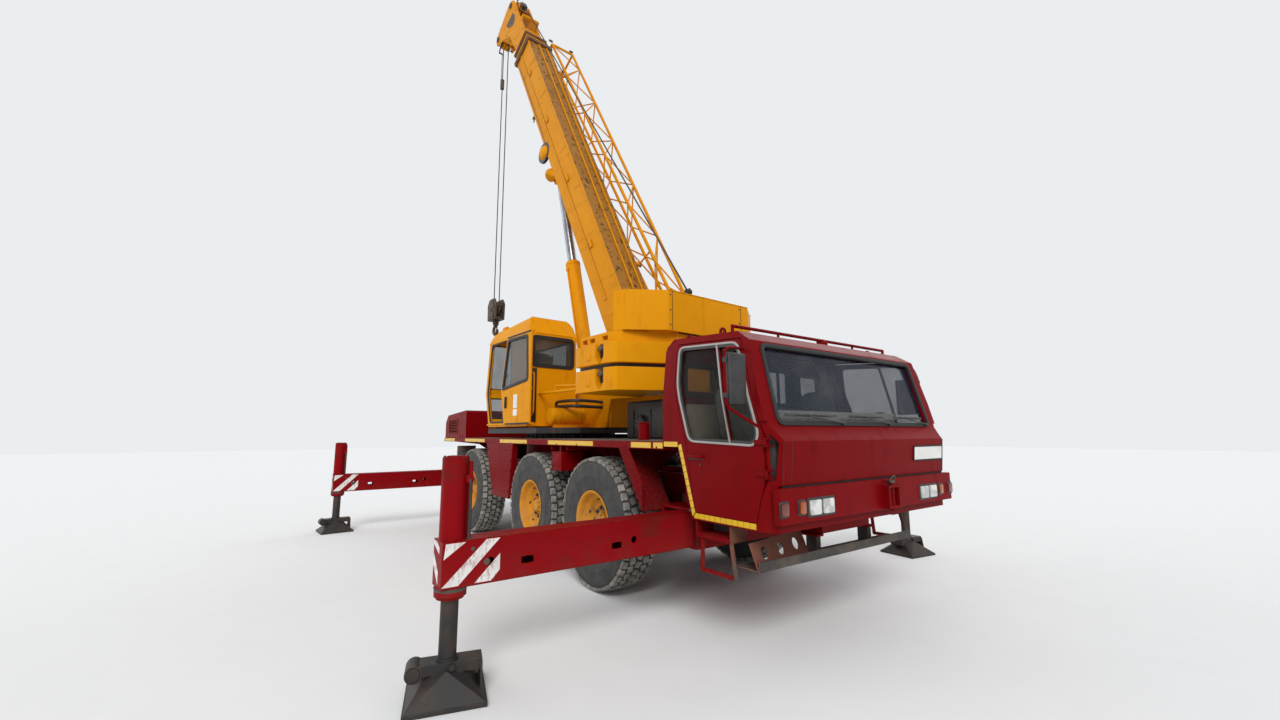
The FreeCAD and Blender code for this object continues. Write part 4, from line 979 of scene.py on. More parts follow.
# mirrors: bent tube frames with flat heads, glass towards the driver
mirrorForms = {
    "right": {"tube": [(2.154, -1.208, 2.250), (2.245, -1.365, 2.236), (2.264, -1.400, 2.233),
                       (2.268, -1.478, 2.218),
                       (2.269, -1.505, 2.190), (2.269, -1.497, 1.845), (2.272, -1.482, 1.795),
                       (2.290, -1.415, 1.755),
                       (2.336, -1.245, 1.660)],
              "low": (2.247, -1.478, 1.810), "high": (2.291, -1.300, 2.190),
              "stays": [(2.269, -1.500), (2.269, -1.470)],
              "glass": ((2.2455, -1.466, 1.824), (2.2475, -1.312, 2.176))},
    "left": {"tube": [(2.150, 1.208, 2.270), (2.170, 1.315, 2.286), (2.185, 1.348, 2.272),
                      (2.220, 1.351, 2.175),
                      (2.224, 1.350, 2.120), (2.224, 1.350, 1.960), (2.234, 1.344, 1.900),
                      (2.270, 1.322, 1.780),
                      (2.336, 1.245, 1.660)],
             "low": (1.985, 1.330, 1.800), "high": (2.190, 1.372, 2.170),
             "stays": [(2.224, 1.350), (2.180, 1.350)],
             "glass": ((1.997, 1.3285, 1.814), (2.178, 1.3305, 2.156))}}
for label, form in mirrorForms.items():
    makePipe("mirror_tube_" + label, form["tube"], 0.0105, "door_" + label,
             crimson if label == "right" else blackPlastic, axlePlace)
    bm = bmesh.new()
    addBox(bm, form["low"], form["high"], 0.016, 4)
    a, b = form["stays"]
    for z in (1.880, 2.130):
        addRod(bm, (*a, z), (*b, z), 0.009, 12)
        addRod(bm, (a[0], a[1], z - 0.016), (a[0], a[1], z + 0.016), 0.016, 14)
    made = set(bm.faces)
    addBox(bm, *form["glass"], 0.0005)
    setFinish(bm, made, 1)
    makePiece("mirror_head_" + label, bm, "door_" + label, (blackPlastic, mirrorGlass), axlePlace, 35,
              ("mirror_" + label,))
print("mirrors made")


# cab interiors: dash, wheel and padded seats
def addCushion(bm, low, high, crown, turn=None):
    # crowned pad whose sides pull in between its corners
    low, high = Vector(low), Vector(high)
    half = (high - low) / 2
    before = set(bm.verts)
    verts = bmesh.ops.create_cube(bm, size=2)["verts"]
    edges = list({e for v in verts for e in v.link_edges})
    bmesh.ops.subdivide_edges(bm, edges=edges, cuts=9, use_grid_fill=True)
    for v in bm.verts:
        if v in before:
            continue
        u = v.co / sum(abs(c) ** 7 for c in v.co) ** (1 / 7)
        swell = (1 - u.x ** 2) * (1 - u.y ** 2)
        pull = 1 - 0.035 * (1 - max(abs(u.x), abs(u.y)) ** 4)
        top = crown * swell if u.z > 0 else 0.0
        v.co = Vector((u.x * half.x * pull, u.y * half.y * pull, u.z * (half.z - crown) + top))
        if turn:
            v.co.rotate(turn)
        v.co += (low + high) / 2


def addSeat(bm, at, tall):
    # cushion and backrest in one body, at the middle of the front edge of the pan
    addCushion(bm, at + Vector((-0.43, -0.235, 0.0)), at + Vector((0.0, 0.235, 0.115)), 0.022)
    addCushion(bm, at + Vector((-0.50, -0.225, 0.085)), at + Vector((-0.375, 0.225, tall)), 0.022,
               Matrix.Rotation(radians(-8), 3, "Y"))


seats = {"driver": ("carrier", Vector((1.990, 0.620, 1.325)), 0.72, axlePlace),
         "mate": ("carrier", Vector((1.990, -0.620, 1.325)), 0.72, axlePlace),
         "operator": ("superstructure", Vector((0.110, 0.830, 2.125)), 0.72, turnPlace)}
for name, (body, at, tall, place) in seats.items():
    bm = bmesh.new()
    addSeat(bm, at, tall)
    cushion = makePiece(name + "_seat_pads", bm, body, seatCloth, place, 60)
    bm = bmesh.new()
    for side in (-1, 1):
        y = at.y + side * 0.215
        addRod(bm, (at.x - 0.42, y, at.z + 0.10), (at.x - 0.52, y, at.z + tall - 0.03), 0.011, 10)
    addBox(bm, at + Vector((-0.425, -0.225, -0.035)), at + Vector((-0.010, 0.225, 0.003)), 0.010)
    addBox(bm, (at.x - 0.325, at.y - 0.11, at.z - 0.36), (at.x - 0.095, at.y + 0.11, at.z - 0.034), 0.015)
    made = set(bm.faces)
    for z in (0.06, 0.10, 0.14):
        addRod(bm, (at.x - 0.05, at.y - 0.255, at.z - z), (at.x - 0.30, at.y - 0.255, at.z - z), 0.006, 8)
    setFinish(bm, made, 1)
    makePiece(name + "_seat_frame", bm, body, (blackPlastic, castIronAndShade), place)

bm = bmesh.new()
addPlate(bm, [(2.252, 0.970), (2.252, 1.560), (2.292, 1.636), (2.345, 1.636), (2.392, 1.560), (2.392, 0.970)],
         -1.145, 1.145, "XZ",
         0.012, 3)
addPlate(bm, [(2.170, 1.470), (2.200, 1.655), (2.280, 1.668), (2.262, 1.470)], 0.380, 0.860, "XZ", 0.014, 3)
addPlate(bm, [(1.500, 0.972), (1.500, 0.990), (2.250, 0.990), (2.250, 0.972)], -1.19, 1.19, "XZ", 0.004)
addBox(bm, (1.700, -0.330, 0.990), (2.200, 0.330, 1.340), 0.05, 4)
for y in (-0.62, 0.62):
    addBox(bm, (1.640, y - 0.16, 0.990), (1.920, y + 0.16, 1.000), 0.004)
made = set(bm.faces)
addBox(bm, (1.279, -1.020, 1.150), (1.300, 1.020, 1.880), 0.010)
setFinish(bm, made, 1)
made = set(bm.faces)
addRod(bm, (2.270, 0.620, 1.500), (2.100, 0.620, 1.615), 0.034, 18, 0.026)
addRod(bm, (2.112, 0.620, 1.606), (2.080, 0.620, 1.628), 0.050, 24, 0.038)
wheelAt = Vector((2.088, 0.620, 1.622))
wheelTilt = Matrix.Rotation(radians(-56), 3, "Y")
for k in range(3):
    a = radians(90 + 120 * k)
    addRod(bm, wheelAt, wheelAt + wheelTilt @ Vector((0.208 * cos(a), 0.208 * sin(a), 0)), 0.011, 10)
for y in (-0.55, -0.10, 0.28):
    addBox(bm, (2.240, y - 0.09, 1.500), (2.256, y + 0.09, 1.560), 0.006)
for y in (0.46, 0.62, 0.78):
    addRod(bm, (2.190, y, 1.580), (2.172, y, 1.583), 0.042, 24)
addRod(bm, (1.960, 0.250, 1.330), (2.010, 0.250, 1.560), 0.010, 10)
addRod(bm, (2.008, 0.250, 1.550), (2.016, 0.250, 1.590), 0.022, 14)
setFinish(bm, made, 2)
made = set(bm.faces)
# pale strip under the windscreen in the brightened cream: painted light
addPlate(bm, [(2.342, 1.630), (2.356, 1.630), (2.334, 1.785), (2.320, 1.785)], -1.080, 0.615, "XZ", 0.003)
setFinish(bm, made, 3)
makePiece("dash_and_floor", bm, "carrier", (darkTrim, creamTrim, blackPlastic, dashCreamPaintedLight), axlePlace, 35,
          ("cab_interior",))
ringPoints = [tuple(wheelTilt @ Vector((x, y, 0)) + wheelAt) for x, y in ringSpots(16, 0.214)]
makePipe("steering_ring", ringPoints, 0.0135, "carrier", blackPlastic, axlePlace, cyclic=True)

bm = bmesh.new()
for y0, y1 in ((0.522, 0.598), (1.062, 1.138)):
    addBox(bm, (-0.298, y0, 1.762), (0.218, y1, 2.345), 0.012, 3)
    mid = (y0 + y1) / 2
    addBox(bm, (-0.260, y0 - 0.002, 2.345), (0.020, y1 + 0.002, 2.385), 0.014, 3)
    made = set(bm.faces)
    addRod(bm, (0.150, mid, 2.340), (0.150, mid, 2.380), 0.030, 16, 0.016)
    addRod(bm, (0.150, mid, 2.360), (0.156, mid, 2.500), 0.009, 12)
    addRod(bm, (0.155, mid, 2.485), (0.157, mid, 2.545), 0.019, 16, 0.024)
    for k in range(4):
        addRod(bm, (0.070 - 0.035 * k, mid, 2.343), (0.070 - 0.035 * k, mid, 2.354), 0.008, 10)
    setFinish(bm, made, 1)
addPlate(bm, [(-0.60, 1.765), (-0.60, 1.775), (0.46, 1.775), (0.46, 1.765)], 0.47, 1.18, "XZ")
makePiece("operator_consoles", bm, "superstructure", (darkTrim, blackPlastic), turnPlace, 35,
          ("operator_seat",))
print("interiors made")


# outrigger beams: slanted white stripes, the jack tube's cap and lower ring, hose bracket and flush screws
stripeBands = [
    [(3.133, 0.835), (3.122, 0.930), (2.997, 0.930)],
    [(3.138, 0.668), (3.037, 0.668), (2.771, 0.932), (2.862, 0.932)],
    [(2.933, 0.668), (2.824, 0.668), (2.768, 0.730), (2.768, 0.833)]]
endBands = [
    [(-0.194, 0.850), (-0.194, 0.775), (-0.080, 0.675), (-0.080, 0.750)],
    [(-0.194, 0.930), (-0.194, 0.905), (-0.068, 0.862), (-0.068, 0.900), (-0.130, 0.930)]]


def outriggerTrim(bm, face):
    # in a frame with Y running out of the machine; face is the beam's front side
    for x, deep in ((face, 0.0014), (face - 0.2, -0.0014)):
        for band in stripeBands:
            addPlate(bm, band, min(x, x + deep), max(x, x + deep), "YZ")
    for band in endBands:
        addPlate(bm, [(face + x, z) for x, z in band], 3.142, 3.1434, "XZ")
    setFinish(bm, set(), 1)
    mid = face - 0.1
    made = set(bm.faces)
    addRod(bm, (mid, jackOut, 1.450), (mid, jackOut, 1.464), 0.086, 32)
    addRod(bm, (mid, jackOut, 1.464), (mid, jackOut, 1.474), 0.066, 32, 0.056)
    for x, y in ringSpots(6, 0.074):
        addRod(bm, (mid + x, jackOut + y, 1.462), (mid + x, jackOut + y, 1.474), 0.008, 6)
    addBox(bm, (mid + 0.055, 2.965, 1.300), (mid + 0.104, 3.010, 1.350), 0.006)
    addBox(bm, (mid + 0.068, 2.966, 0.950), (mid + 0.092, 2.988, 1.440), 0.004)
    setFinish(bm, made, 0)
    made = set(bm.faces)
    addRod(bm, (mid, jackOut, 0.596), (mid, jackOut, 0.650), 0.094, 32, 0.104)
    addRod(bm, (mid, jackOut, 0.584), (mid, jackOut, 0.598), 0.084, 32)
    for x in (face + 0.0005, face - 0.2005):
        addRod(bm, (x - 0.0025, 2.951, 0.883), (x + 0.0025, 2.951, 0.883), 0.013, 14)
        addRod(bm, (x - 0.0018, 2.856, 0.790), (x + 0.0018, 2.856, 0.790), 0.021, 18)
    setFinish(bm, made, 2)


def footTrim(bm, face, turn):
    # wiper ring at the rod's lower end, pins and bolts of the foot
    mid = face - 0.1
    addRod(bm, (0, 0, 0.213), (0, 0, 0.228), 0.066, 28)
    for x in (-0.085, 0.085):
        addRod(bm, (x - 0.010, 0.030, 0.188), (x + 0.010, 0.030, 0.188), 0.020, 12)
    for x in (-0.080, 0.080):
        addRod(bm, (x - 0.006, -0.190, 0.172), (x + 0.006, -0.190, 0.172), 0.036, 20)
    for x, y in ((-0.19, -0.19), (0.19, -0.19), (0.19, 0.19), (-0.19, 0.19)):
        addRod(bm, (x, y, 0.020), (x, y, 0.034), 0.016, 6)
    bmesh.ops.rotate(bm, cent=(0, 0, 0), matrix=Matrix.Rotation(radians(turn), 3, "Z"), verts=bm.verts)
    bmesh.ops.translate(bm, vec=(mid, 0, 0), verts=bm.verts)


footTurn = {"front_right": -15.3, "front_left": -8, "rear_right": 5, "rear_left": -15.3}
for corner, (side, face) in corners.items():
    bm = bmesh.new()
    outriggerTrim(bm, face)
    bmesh.ops.scale(bm, vec=(1, side, 1), verts=bm.verts)
    makePiece("beam_trim_" + corner, bm, "beam_" + corner, (beamRed, stripeWhite, castIronAndShade), axlePlace)
    bm = bmesh.new()
    footTrim(bm, face, footTurn[corner])
    bmesh.ops.translate(bm, vec=(0, side * jackOut, 0), verts=bm.verts)
    makePiece("foot_trim_" + corner, bm, "foot_" + corner, footSteel, axlePlace)
    mid = face - 0.1
    makePipe("jack_hose_" + corner, [(mid + 0.088, side * 2.990, 1.335), (mid + 0.106, side * 2.984, 1.310),
                                     (mid + 0.104, side * 2.982, 1.200), (mid + 0.104, side * 2.982, 1.040),
                                     (mid + 0.090, side * 2.980, 0.940)], 0.010, "beam_" + corner,
             blackPlastic, axlePlace)
print("outrigger details made")


# deck: tread plate on top, bolts and ribs on its sides, cross strips and three pipes
deckPlates = [(-4.420, -3.720, -1.240, 1.240), (-1.880, 1.235, -1.240, 1.240), (-3.716, -1.884, 0.925, 1.240),
              (-3.716, -1.884, -1.240, -0.925)]
bm = bmesh.new()
for x0, x1, y0, y1 in deckPlates:
    addBox(bm, (x0, y0, 1.5445), (x1, y1, deckTop))
makePiece("deck_tread", bm, "carrier", treadPlate, axlePlace, None)
bm = bmesh.new()
for side in (-1, 1):
    for n in range(12):
        x = -4.30 + 0.495 * n
        addRod(bm, (x, side * 1.249, 1.492), (x, side * 1.254, 1.492), 0.010, 10)
    for n in range(5):
        z = 0.80 + 0.145 * n
        t = (1.475 - z) / 0.775
        for a, b in (((-3.270, 1.475), (-2.930, 0.700)), ((-2.262, 1.475), (-2.365, 0.700))):
            addRod(bm, (a[0] + (b[0] - a[0]) * t, side * 1.249, z),
                   (a[0] + (b[0] - a[0]) * t, side * 1.257, z), 0.012, 6)
        addSideBox(bm, side, (-2.90 + 0.03 * n, 1.235, z - 0.006), (-2.44, 1.253, z + 0.006), 0.002)
    addSideBox(bm, side, (-0.945, 1.235, 1.205), (-0.725, 1.253, 1.375), 0.008)
    for z in (1.230, 1.350):
        addRod(bm, (-0.925, side * 1.250, z), (-0.925, side * 1.260, z), 0.010, 6)
    for x in (0.575, 0.645):
        addRod(bm, (x, side * 1.249, 1.435), (x, side * 1.256, 1.435), 0.011, 6)
    for x in (-0.62, -1.02):
        # braces that carry the mud flaps between the wheels
        addSideBox(bm, side, (x, 0.92, 1.415), (x + 0.008, 1.235, 1.474), 0.002)
for x in (-4.05, -3.85, 0.20, 0.90):
    addBox(bm, (x, -0.50, deckTop), (x + 0.02, 0.50, 1.556), 0.003)
made = set(bm.faces)
for y in (0.975, 1.030, 1.085):
    # three pipes along the far edge of the deck, with clamps
    addRod(bm, (-3.600, y, 1.578), (-0.900, y, 1.578), 0.027, 20)
for n in range(6):
    x = -3.450 + 0.480 * n
    addBox(bm, (x - 0.018, 0.940, deckTop), (x + 0.018, 1.120, 1.584), 0.003)
setFinish(bm, made, 1)
makePiece("deck_fittings", bm, "carrier", (crimson, blackPaintAndShade), axlePlace)

# dark tank and motor housing on the deck behind the cab, under the counterweight's swing: painted shade, dark
# shapes that stand for the deep shadow there
bm = bmesh.new()
addBox(bm, (-0.560, -0.420, deckTop), (0.520, 0.600, 2.010), 0.030, 3)
addBox(bm, (0.520, -0.420, deckTop), (1.180, 0.600, 1.930), 0.030, 3)
for x in (-0.400, -0.050, 0.300, 0.700, 1.020):
    addBox(bm, (x - 0.012, -0.432, 1.570), (x + 0.012, -0.418, 1.900), 0.004)
for x in (-0.225, 0.860):
    addRod(bm, (x, -0.418, 1.740), (x, -0.470, 1.740), 0.095, 32)
    for dx, dz in ringSpots(8, 0.078):
        addRod(bm, (x + dx, -0.468, 1.740 + dz), (x + dx, -0.480, 1.740 + dz), 0.008, 6)
addRod(bm, (0.130, -0.150, 2.008), (0.130, -0.150, 2.040), 0.060, 28)
makePiece("deck_shade_boxes", bm, "carrier", (blackPaintAndShade,), axlePlace)

# the slanted guards behind the front wheels carry raised tread plate
bm = bmesh.new()
for side in (-1, 1):
    lo, hi = sorted((side * 1.2500, side * 1.2525))
    addPlate(bm, [(0.534, 1.466), (0.692, 1.466), (0.920, 1.165), (0.922, 0.925)], lo, hi, "XZ")
    lo, hi = sorted((side * 1.243, side * 0.907))
    addPlate(bm, [(0.5285, 1.470), (0.5310, 1.470), (0.9300, 0.912), (0.9275, 0.912)], lo, hi, "XZ")
makePiece("guard_tread", bm, "carrier", redTread, axlePlace, None)

# springs over the axle beams, with clamps and shackles, and the drive shafts between the axles
bm = bmesh.new()
for x in axleSpots:
    for side in (-1, 1):
        y = side * 0.43
        for k in range(6):
            half = 0.60 - 0.085 * k
            leaf = [(x - half, 0.90), (x - half * 0.5, 0.855), (x, 0.840), (x + half * 0.5, 0.855),
                    (x + half, 0.90)]
            line = [(p, z - 0.017 * k) for p, z in leaf] + [(p, z - 0.017 * k - 0.014) for p,
                                                            z in reversed(leaf)]
            addPlate(bm, line, y - 0.038, y + 0.038, "XZ")
        for dx in (-0.075, 0.075):
            addBox(bm, (x + dx - 0.010, y - 0.052, 0.720), (x + dx + 0.010, y + 0.052, 0.880), 0.004)
        for dx in (-0.60, 0.60):
            addBox(bm, (x + dx - 0.025, y - 0.050, 0.870), (x + dx + 0.025, y + 0.050, 0.985), 0.008)
            addRod(bm, (x + dx, y - 0.060, 0.895), (x + dx, y + 0.060, 0.895), 0.020, 14)
    for side in (-1, 1):
        addRod(bm, (x + 0.20, side * 0.38, 0.66), (x + 0.12, side * 0.41, 1.10), 0.030, 16)
        addRod(bm, (x + 0.165, side * 0.395, 0.86), (x + 0.12, side * 0.41, 1.12), 0.040, 16)
for a, b in (((-0.19, 0.70), (-1.41, 0.70)), ((-1.78, 0.70), (-2.60, 0.82)), ((-3.10, 0.82), (-3.85, 0.70))):
    addRod(bm, (a[0], 0, a[1]), (b[0], 0, b[1]), 0.048, 18)
    for p in (a, b):
        addRod(bm, (p[0] - 0.03, 0, p[1]), (p[0] + 0.03, 0, p[1]), 0.078, 18)
addBox(bm, (-3.10, -0.16, 0.70), (-2.60, 0.16, 1.02), 0.03, 3)
makePiece("springs_and_shafts", bm, "carrier", castIronAndShade, axlePlace)
for side in (-1, 1):
    for n, x in enumerate(axleSpots[:2]):
        makePipe("brake_hose_%d_%s" % (n + 1, "left" if side > 0 else "right"),
                 [(x - 0.25, side * 0.42, 1.00), (x - 0.28, side * 0.52, 0.90), (x - 0.22, side * 0.66, 0.84),
                  (x - 0.10, side * 0.72, 0.78)],
                 0.009, "carrier", blackPlastic, axlePlace)
print("deck and running gear made")


# superstructure: pin bosses, winch motor, the tank's bands, two boxes and the slewing ring's bolts
bm = bmesh.new()
for side in (-1, 1):
    for x, z, r in ((boomPivot[0], boomPivot[2], 0.110), (winchX, winchZ, 0.095)):
        addRod(bm, (x, side * 0.318, z), (x, side * 0.338, z), r, 36)
        addRod(bm, (x, side * 0.336, z), (x, side * 0.352, z), r * 0.62, 32)
        for dx, dz in ringSpots(8, r * 0.80):
            addRod(bm, (x + dx, side * 0.335, z + dz), (x + dx, side * 0.346, z + dz), 0.010, 6)
    for k in range(9):
        x = -1.40 + 0.20 * k
        addRod(bm, (x, side * 0.318, 1.760), (x, side * 0.330, 1.760), 0.012, 6)
addRod(bm, (winchX, 0.352, winchZ), (winchX, 0.560, winchZ), 0.120, 40)
addRod(bm, (winchX, 0.560, winchZ), (winchX, 0.600, winchZ), 0.085, 36, 0.060)
addBox(bm, (-2.700, 0.430, 3.020), (-2.580, 0.540, 3.090), 0.012)
for y in (0.560, 0.900):
    addRod(bm, (-1.06, y - 0.020, 1.860), (-1.06, y + 0.020, 1.860), 0.1165, 40)
addRod(bm, (-1.06, 1.008, 1.860), (-1.06, 1.020, 1.860), 0.090, 36)
addRod(bm, (-1.06, 0.740, 1.965), (-1.06, 0.740, 2.005), 0.030, 20)
for y in (-0.9, -0.5):
    addBox(bm, (-0.95, y - 0.17, 1.700), (-0.35, y + 0.17, 1.900), 0.02, 3)
    addRod(bm, (-0.65, y, 1.900), (-0.65, y, 1.925), 0.045, 24)
made = set(bm.faces)
for x, y in ringSpots(36, 0.728):
    addRod(bm, (x, y, 1.550), (x, y, 1.598), 0.012, 8)
setFinish(bm, made, 1)
makePiece("platform_fittings", bm, "superstructure", (yellow, castIronAndShade), turnPlace)

bm = bmesh.new()
for side in (-1, 1):
    for top in (2.352, 2.640):
        y = side * 1.215
        addRod(bm, (-2.664, y, top - 0.055), (-2.536, y, top - 0.055), 0.017, 18)
        addRod(bm, (-2.600, y - 0.022, top - 0.055), (-2.600, y + 0.022, top - 0.055), 0.030, 20)
    for x in (-2.25, -2.50):
        addRod(bm, (x, side * 0.60, 2.768), (x, side * 0.60, 2.800), 0.028, 6)
# black plates behind each lug on the slab faces: painted shade for the dark lug pockets
made = set(bm.faces)
for side in (-1, 1):
    for top in (2.352, 2.640):
        addSideBox(bm, side, (-2.672, 1.178, top - 0.160), (-2.528, 1.184, top - 0.004))
setFinish(bm, made, 1)
made = set(bm.faces)
for side in (-1, 1):
    for z in (2.200, 2.500):
        addSideBox(bm, side, (-2.425, 1.246, z - 0.042), (-2.330, 1.257, z + 0.042), 0.005)
    # struts from the cab's rear corner to the lower slab
    addRod(bm, (-0.802, side * 1.040, 2.183), (-2.112, side * 1.115, 2.165), 0.019, 14)
    addRod(bm, (-1.320, side * 1.072, 2.255), (-2.112, side * 1.115, 2.205), 0.014, 14)
    addRod(bm, (-1.320, side * 1.072, 2.262), (-1.320, side * 1.070, 2.176), 0.012, 12)
setFinish(bm, made, 2)
makePiece("weight_lugs", bm, "superstructure", (castIronAndShade, sealRubberAndShade, yellow), turnPlace)

bm = bmesh.new()
for y in (-0.560, 0.640):
    addBox(bm, (-3.1835, y - 0.003, 2.775), (-3.1795, y + 0.003, 3.236))
    for z in (2.840, 3.010, 3.190):
        addRod(bm, (-3.179, y + 0.030, z), (-3.186, y + 0.030, z), 0.008, 10)
# roller that leads the rope over the housing's rear edge
addRod(bm, (-3.152, 0.320, 3.280), (-3.152, 0.385, 3.280), 0.036, 28)
addBox(bm, (-3.168, 0.306, 3.236), (-3.136, 0.320, 3.300), 0.005)
made = set(bm.faces)
for side in (-1, 1):
    addPlate(bm, [(-2.742, 3.236), (-2.742, 3.246), (-2.920, 3.246), (-2.920, 3.236)], side * 1.02,
             side * 1.10, "XZ")
addPlate(bm, [(-3.184, -0.700), (-3.168, -0.700), (-3.168, 0.700), (-3.184, 0.700)], 3.236, 3.248, "XY")
setFinish(bm, made, 1)
makePiece("tail_fittings", bm, "superstructure", (sealRubberAndShade, yellow), turnPlace)

# hoist drum with its coil of rope
bm = bmesh.new()
coil = [(0.150, -0.214)]
for n in range(61):
    y = -0.210 + 0.42 * n / 60
    coil.append((0.186 + 0.0075 * abs(sin(pi * n / 4)), y))
coil.append((0.150, 0.214))
addTurned(bm, coil, (winchX, 0, winchZ), 40)
made = set(bm.faces)
for side in (-1, 1):
    addTurned(bm, [(0.040, side * 0.216), (0.212, side * 0.216), (0.212, side * 0.232),
                   (0.040, side * 0.232)], (winchX, 0, winchZ), 48)
    for dx, dz in ringSpots(10, 0.12):
        addRod(bm, (winchX + dx, side * 0.231, winchZ + dz), (winchX + dx, side * 0.243, winchZ + dz), 0.010,
               6)
setFinish(bm, made, 1)
makePiece("rope_drum", bm, "winch", (ropeSteel, yellow), turnPlace, 35, ("winch_drum",))

hoseRuns = {
    "side_hose_loop": [(-1.340, 0.325, 2.060), (-1.345, 0.620, 2.074), (-1.300, 0.790, 2.070),
                       (-1.000, 0.800, 2.070),
                       (-0.870, 0.800, 2.066), (-0.860, 0.800, 2.000), (-1.000, 0.800, 1.996),
                       (-1.300, 0.790, 1.996),
                       (-1.345, 0.620, 1.990), (-1.340, 0.325, 1.985)],
    "motor_hose_a": [(-2.64, 0.50, 3.08), (-2.60, 0.52, 3.20), (-2.42, 0.50, 3.14), (-2.30, 0.42, 2.90),
                     (-2.28, 0.34, 2.70)],
    "motor_hose_b": [(-2.60, 0.46, 3.08), (-2.54, 0.46, 3.16), (-2.38, 0.44, 3.06), (-2.24, 0.38, 2.86),
                     (-2.22, 0.33, 2.66)]}
for name, line in hoseRuns.items():
    makePipe(name, line, 0.022 if name == "side_hose_loop" else 0.016, "superstructure", blackPlastic,
             turnPlace)
print("platform details made")


# operator's cab: window rubbers, a black strip of painted shadow beside the parked door, gutter, wiper,
# lamps, grab rail and blank plates
def cabTrim(bm):
    addFrame(bm, rounded(boxLine(-0.574, 2.316, 0.434, 3.024), 0.06), 0.034, 0.420, 0.436, "XZ", 0.004)
    addFrame(bm, rounded(boxLine(0.470, 2.562, 1.180, 3.030), 0.08), 0.052, -0.812, -0.795, "YZ", 0.005)
    # black strip on the rear wall next to the door leaf: painted shadow cast by the door
    addBox(bm, (-0.812, 1.090, 1.780), (-0.798, 1.168, 2.545), 0.005)
    addFrame(bm, rounded([(-0.262, 1.778), (0.462, 1.778), (0.604, 2.256), (0.484, 3.036), (-0.262, 3.052)],
                         0.05), 0.026, 1.217,
             1.232, "XZ", 0.004)


def cabFittings(bm):
    # roof edge gutter, work lamp, grab rail feet
    addPlate(bm, [(-0.790, 3.062), (-0.632, 3.318), (-0.632, 3.332), (-0.806, 3.062)], 0.500, 1.110, "XZ")
    addBox(bm, (-0.60, 1.100, 3.240), (0.50, 1.128, 3.262), 0.006)
    for y in (0.62, 0.98):
        addRod(bm, (0.470, y, 3.235), (0.470, y, 3.290), 0.010, 10)
        addRod(bm, (0.455, y, 3.330), (0.530, y, 3.318), 0.046, 28, 0.058)
    for z in (1.762, 2.140):
        addRod(bm, (-0.815, 1.160, z + 0.12), (-0.800, 1.160, z + 0.12), 0.014, 12)
    addBox(bm, (0.120, 0.440, 1.700), (0.420, 0.470, 1.722), 0.004)


frontUp = turnPlace @ Matrix.Translation((0.665, 0, 2.255)) @ Matrix.Rotation(radians(-7.0), 4, "Y")
frontLow = turnPlace @ Matrix.Translation((0.515, 0, 1.720)) @ Matrix.Rotation(radians(15.66), 4, "Y")
bm = bmesh.new()
cabTrim(bm)
makePiece("operator_window_rubber_and_door_shadow", bm, "superstructure", sealRubberAndShade, turnPlace)
bm = bmesh.new()
addFrame(bm, rounded(boxLine(0.474, 0.058, 1.182, 0.818), 0.07), 0.034, -0.006, 0.010, "YZ", 0.004)
addRod(bm, (0.006, 0.560, 0.795), (0.030, 0.560, 0.795), 0.014, 14)
addRod(bm, (0.026, 0.560, 0.795), (0.030, 0.760, 0.380), 0.006, 8)
addRod(bm, (0.024, 0.770, 0.200), (0.024, 0.770, 0.600), 0.007, 8)
makePiece("operator_front_rubber", bm, "superstructure", sealRubberAndShade, frontUp)
bm = bmesh.new()
addFrame(bm, rounded(boxLine(0.474, 0.118, 1.182, 0.506), 0.06), 0.034, -0.006, 0.010, "YZ", 0.004)
makePiece("operator_low_rubber", bm, "superstructure", sealRubberAndShade, frontLow)
bm = bmesh.new()
cabFittings(bm)
made = set(bm.faces)
for y in (0.62, 0.98):
    addRod(bm, (0.528, y, 3.319), (0.536, y, 3.317), 0.050, 28)
setFinish(bm, made, 1)
makePiece("operator_cab_fittings", bm, "superstructure", (yellow, clearLens), turnPlace)
makePipe("operator_grab_rail", [(-0.805, 1.160, 1.900), (-0.850, 1.160, 1.902), (-0.862, 1.160, 1.935),
                                (-0.862, 1.160, 2.445),
                                (-0.850, 1.160, 2.478), (-0.805, 1.160, 2.480)], 0.012, "superstructure",
         yellow, turnPlace)

slideBack = -0.645
bm = bmesh.new()
window = [(-0.216, 3.018), (0.438, 3.030), (0.609, 2.255), (-0.258, 2.349)]
addFrame(bm, rounded([(x + slideBack, z) for x, z in window], 0.06), 0.044, 1.262, 1.276, "XZ", 0.004)
addBox(bm, (slideBack + 0.424, 1.264, 1.990), (slideBack + 0.456, 1.296, 2.160), 0.008, 3)
for z in (1.760, 3.052):
    addBox(bm, (slideBack - 0.30, 1.264, z - 0.012), (slideBack + 0.46, 1.272, z + 0.012), 0.003)
made = set(bm.faces)
for z0, z1 in ((1.985, 2.180), (1.875, 1.965)):
    addPlate(bm, rounded(boxLine(slideBack + 0.080, z0, slideBack + 0.205, z1), 0.008), 1.2655, 1.2675, "XZ")
setFinish(bm, made, 1)
makePiece("sliding_door_trim", bm, "sliding_door", (sealRubberAndShade, plateWhite), turnPlace)
print("operator's cab details made")


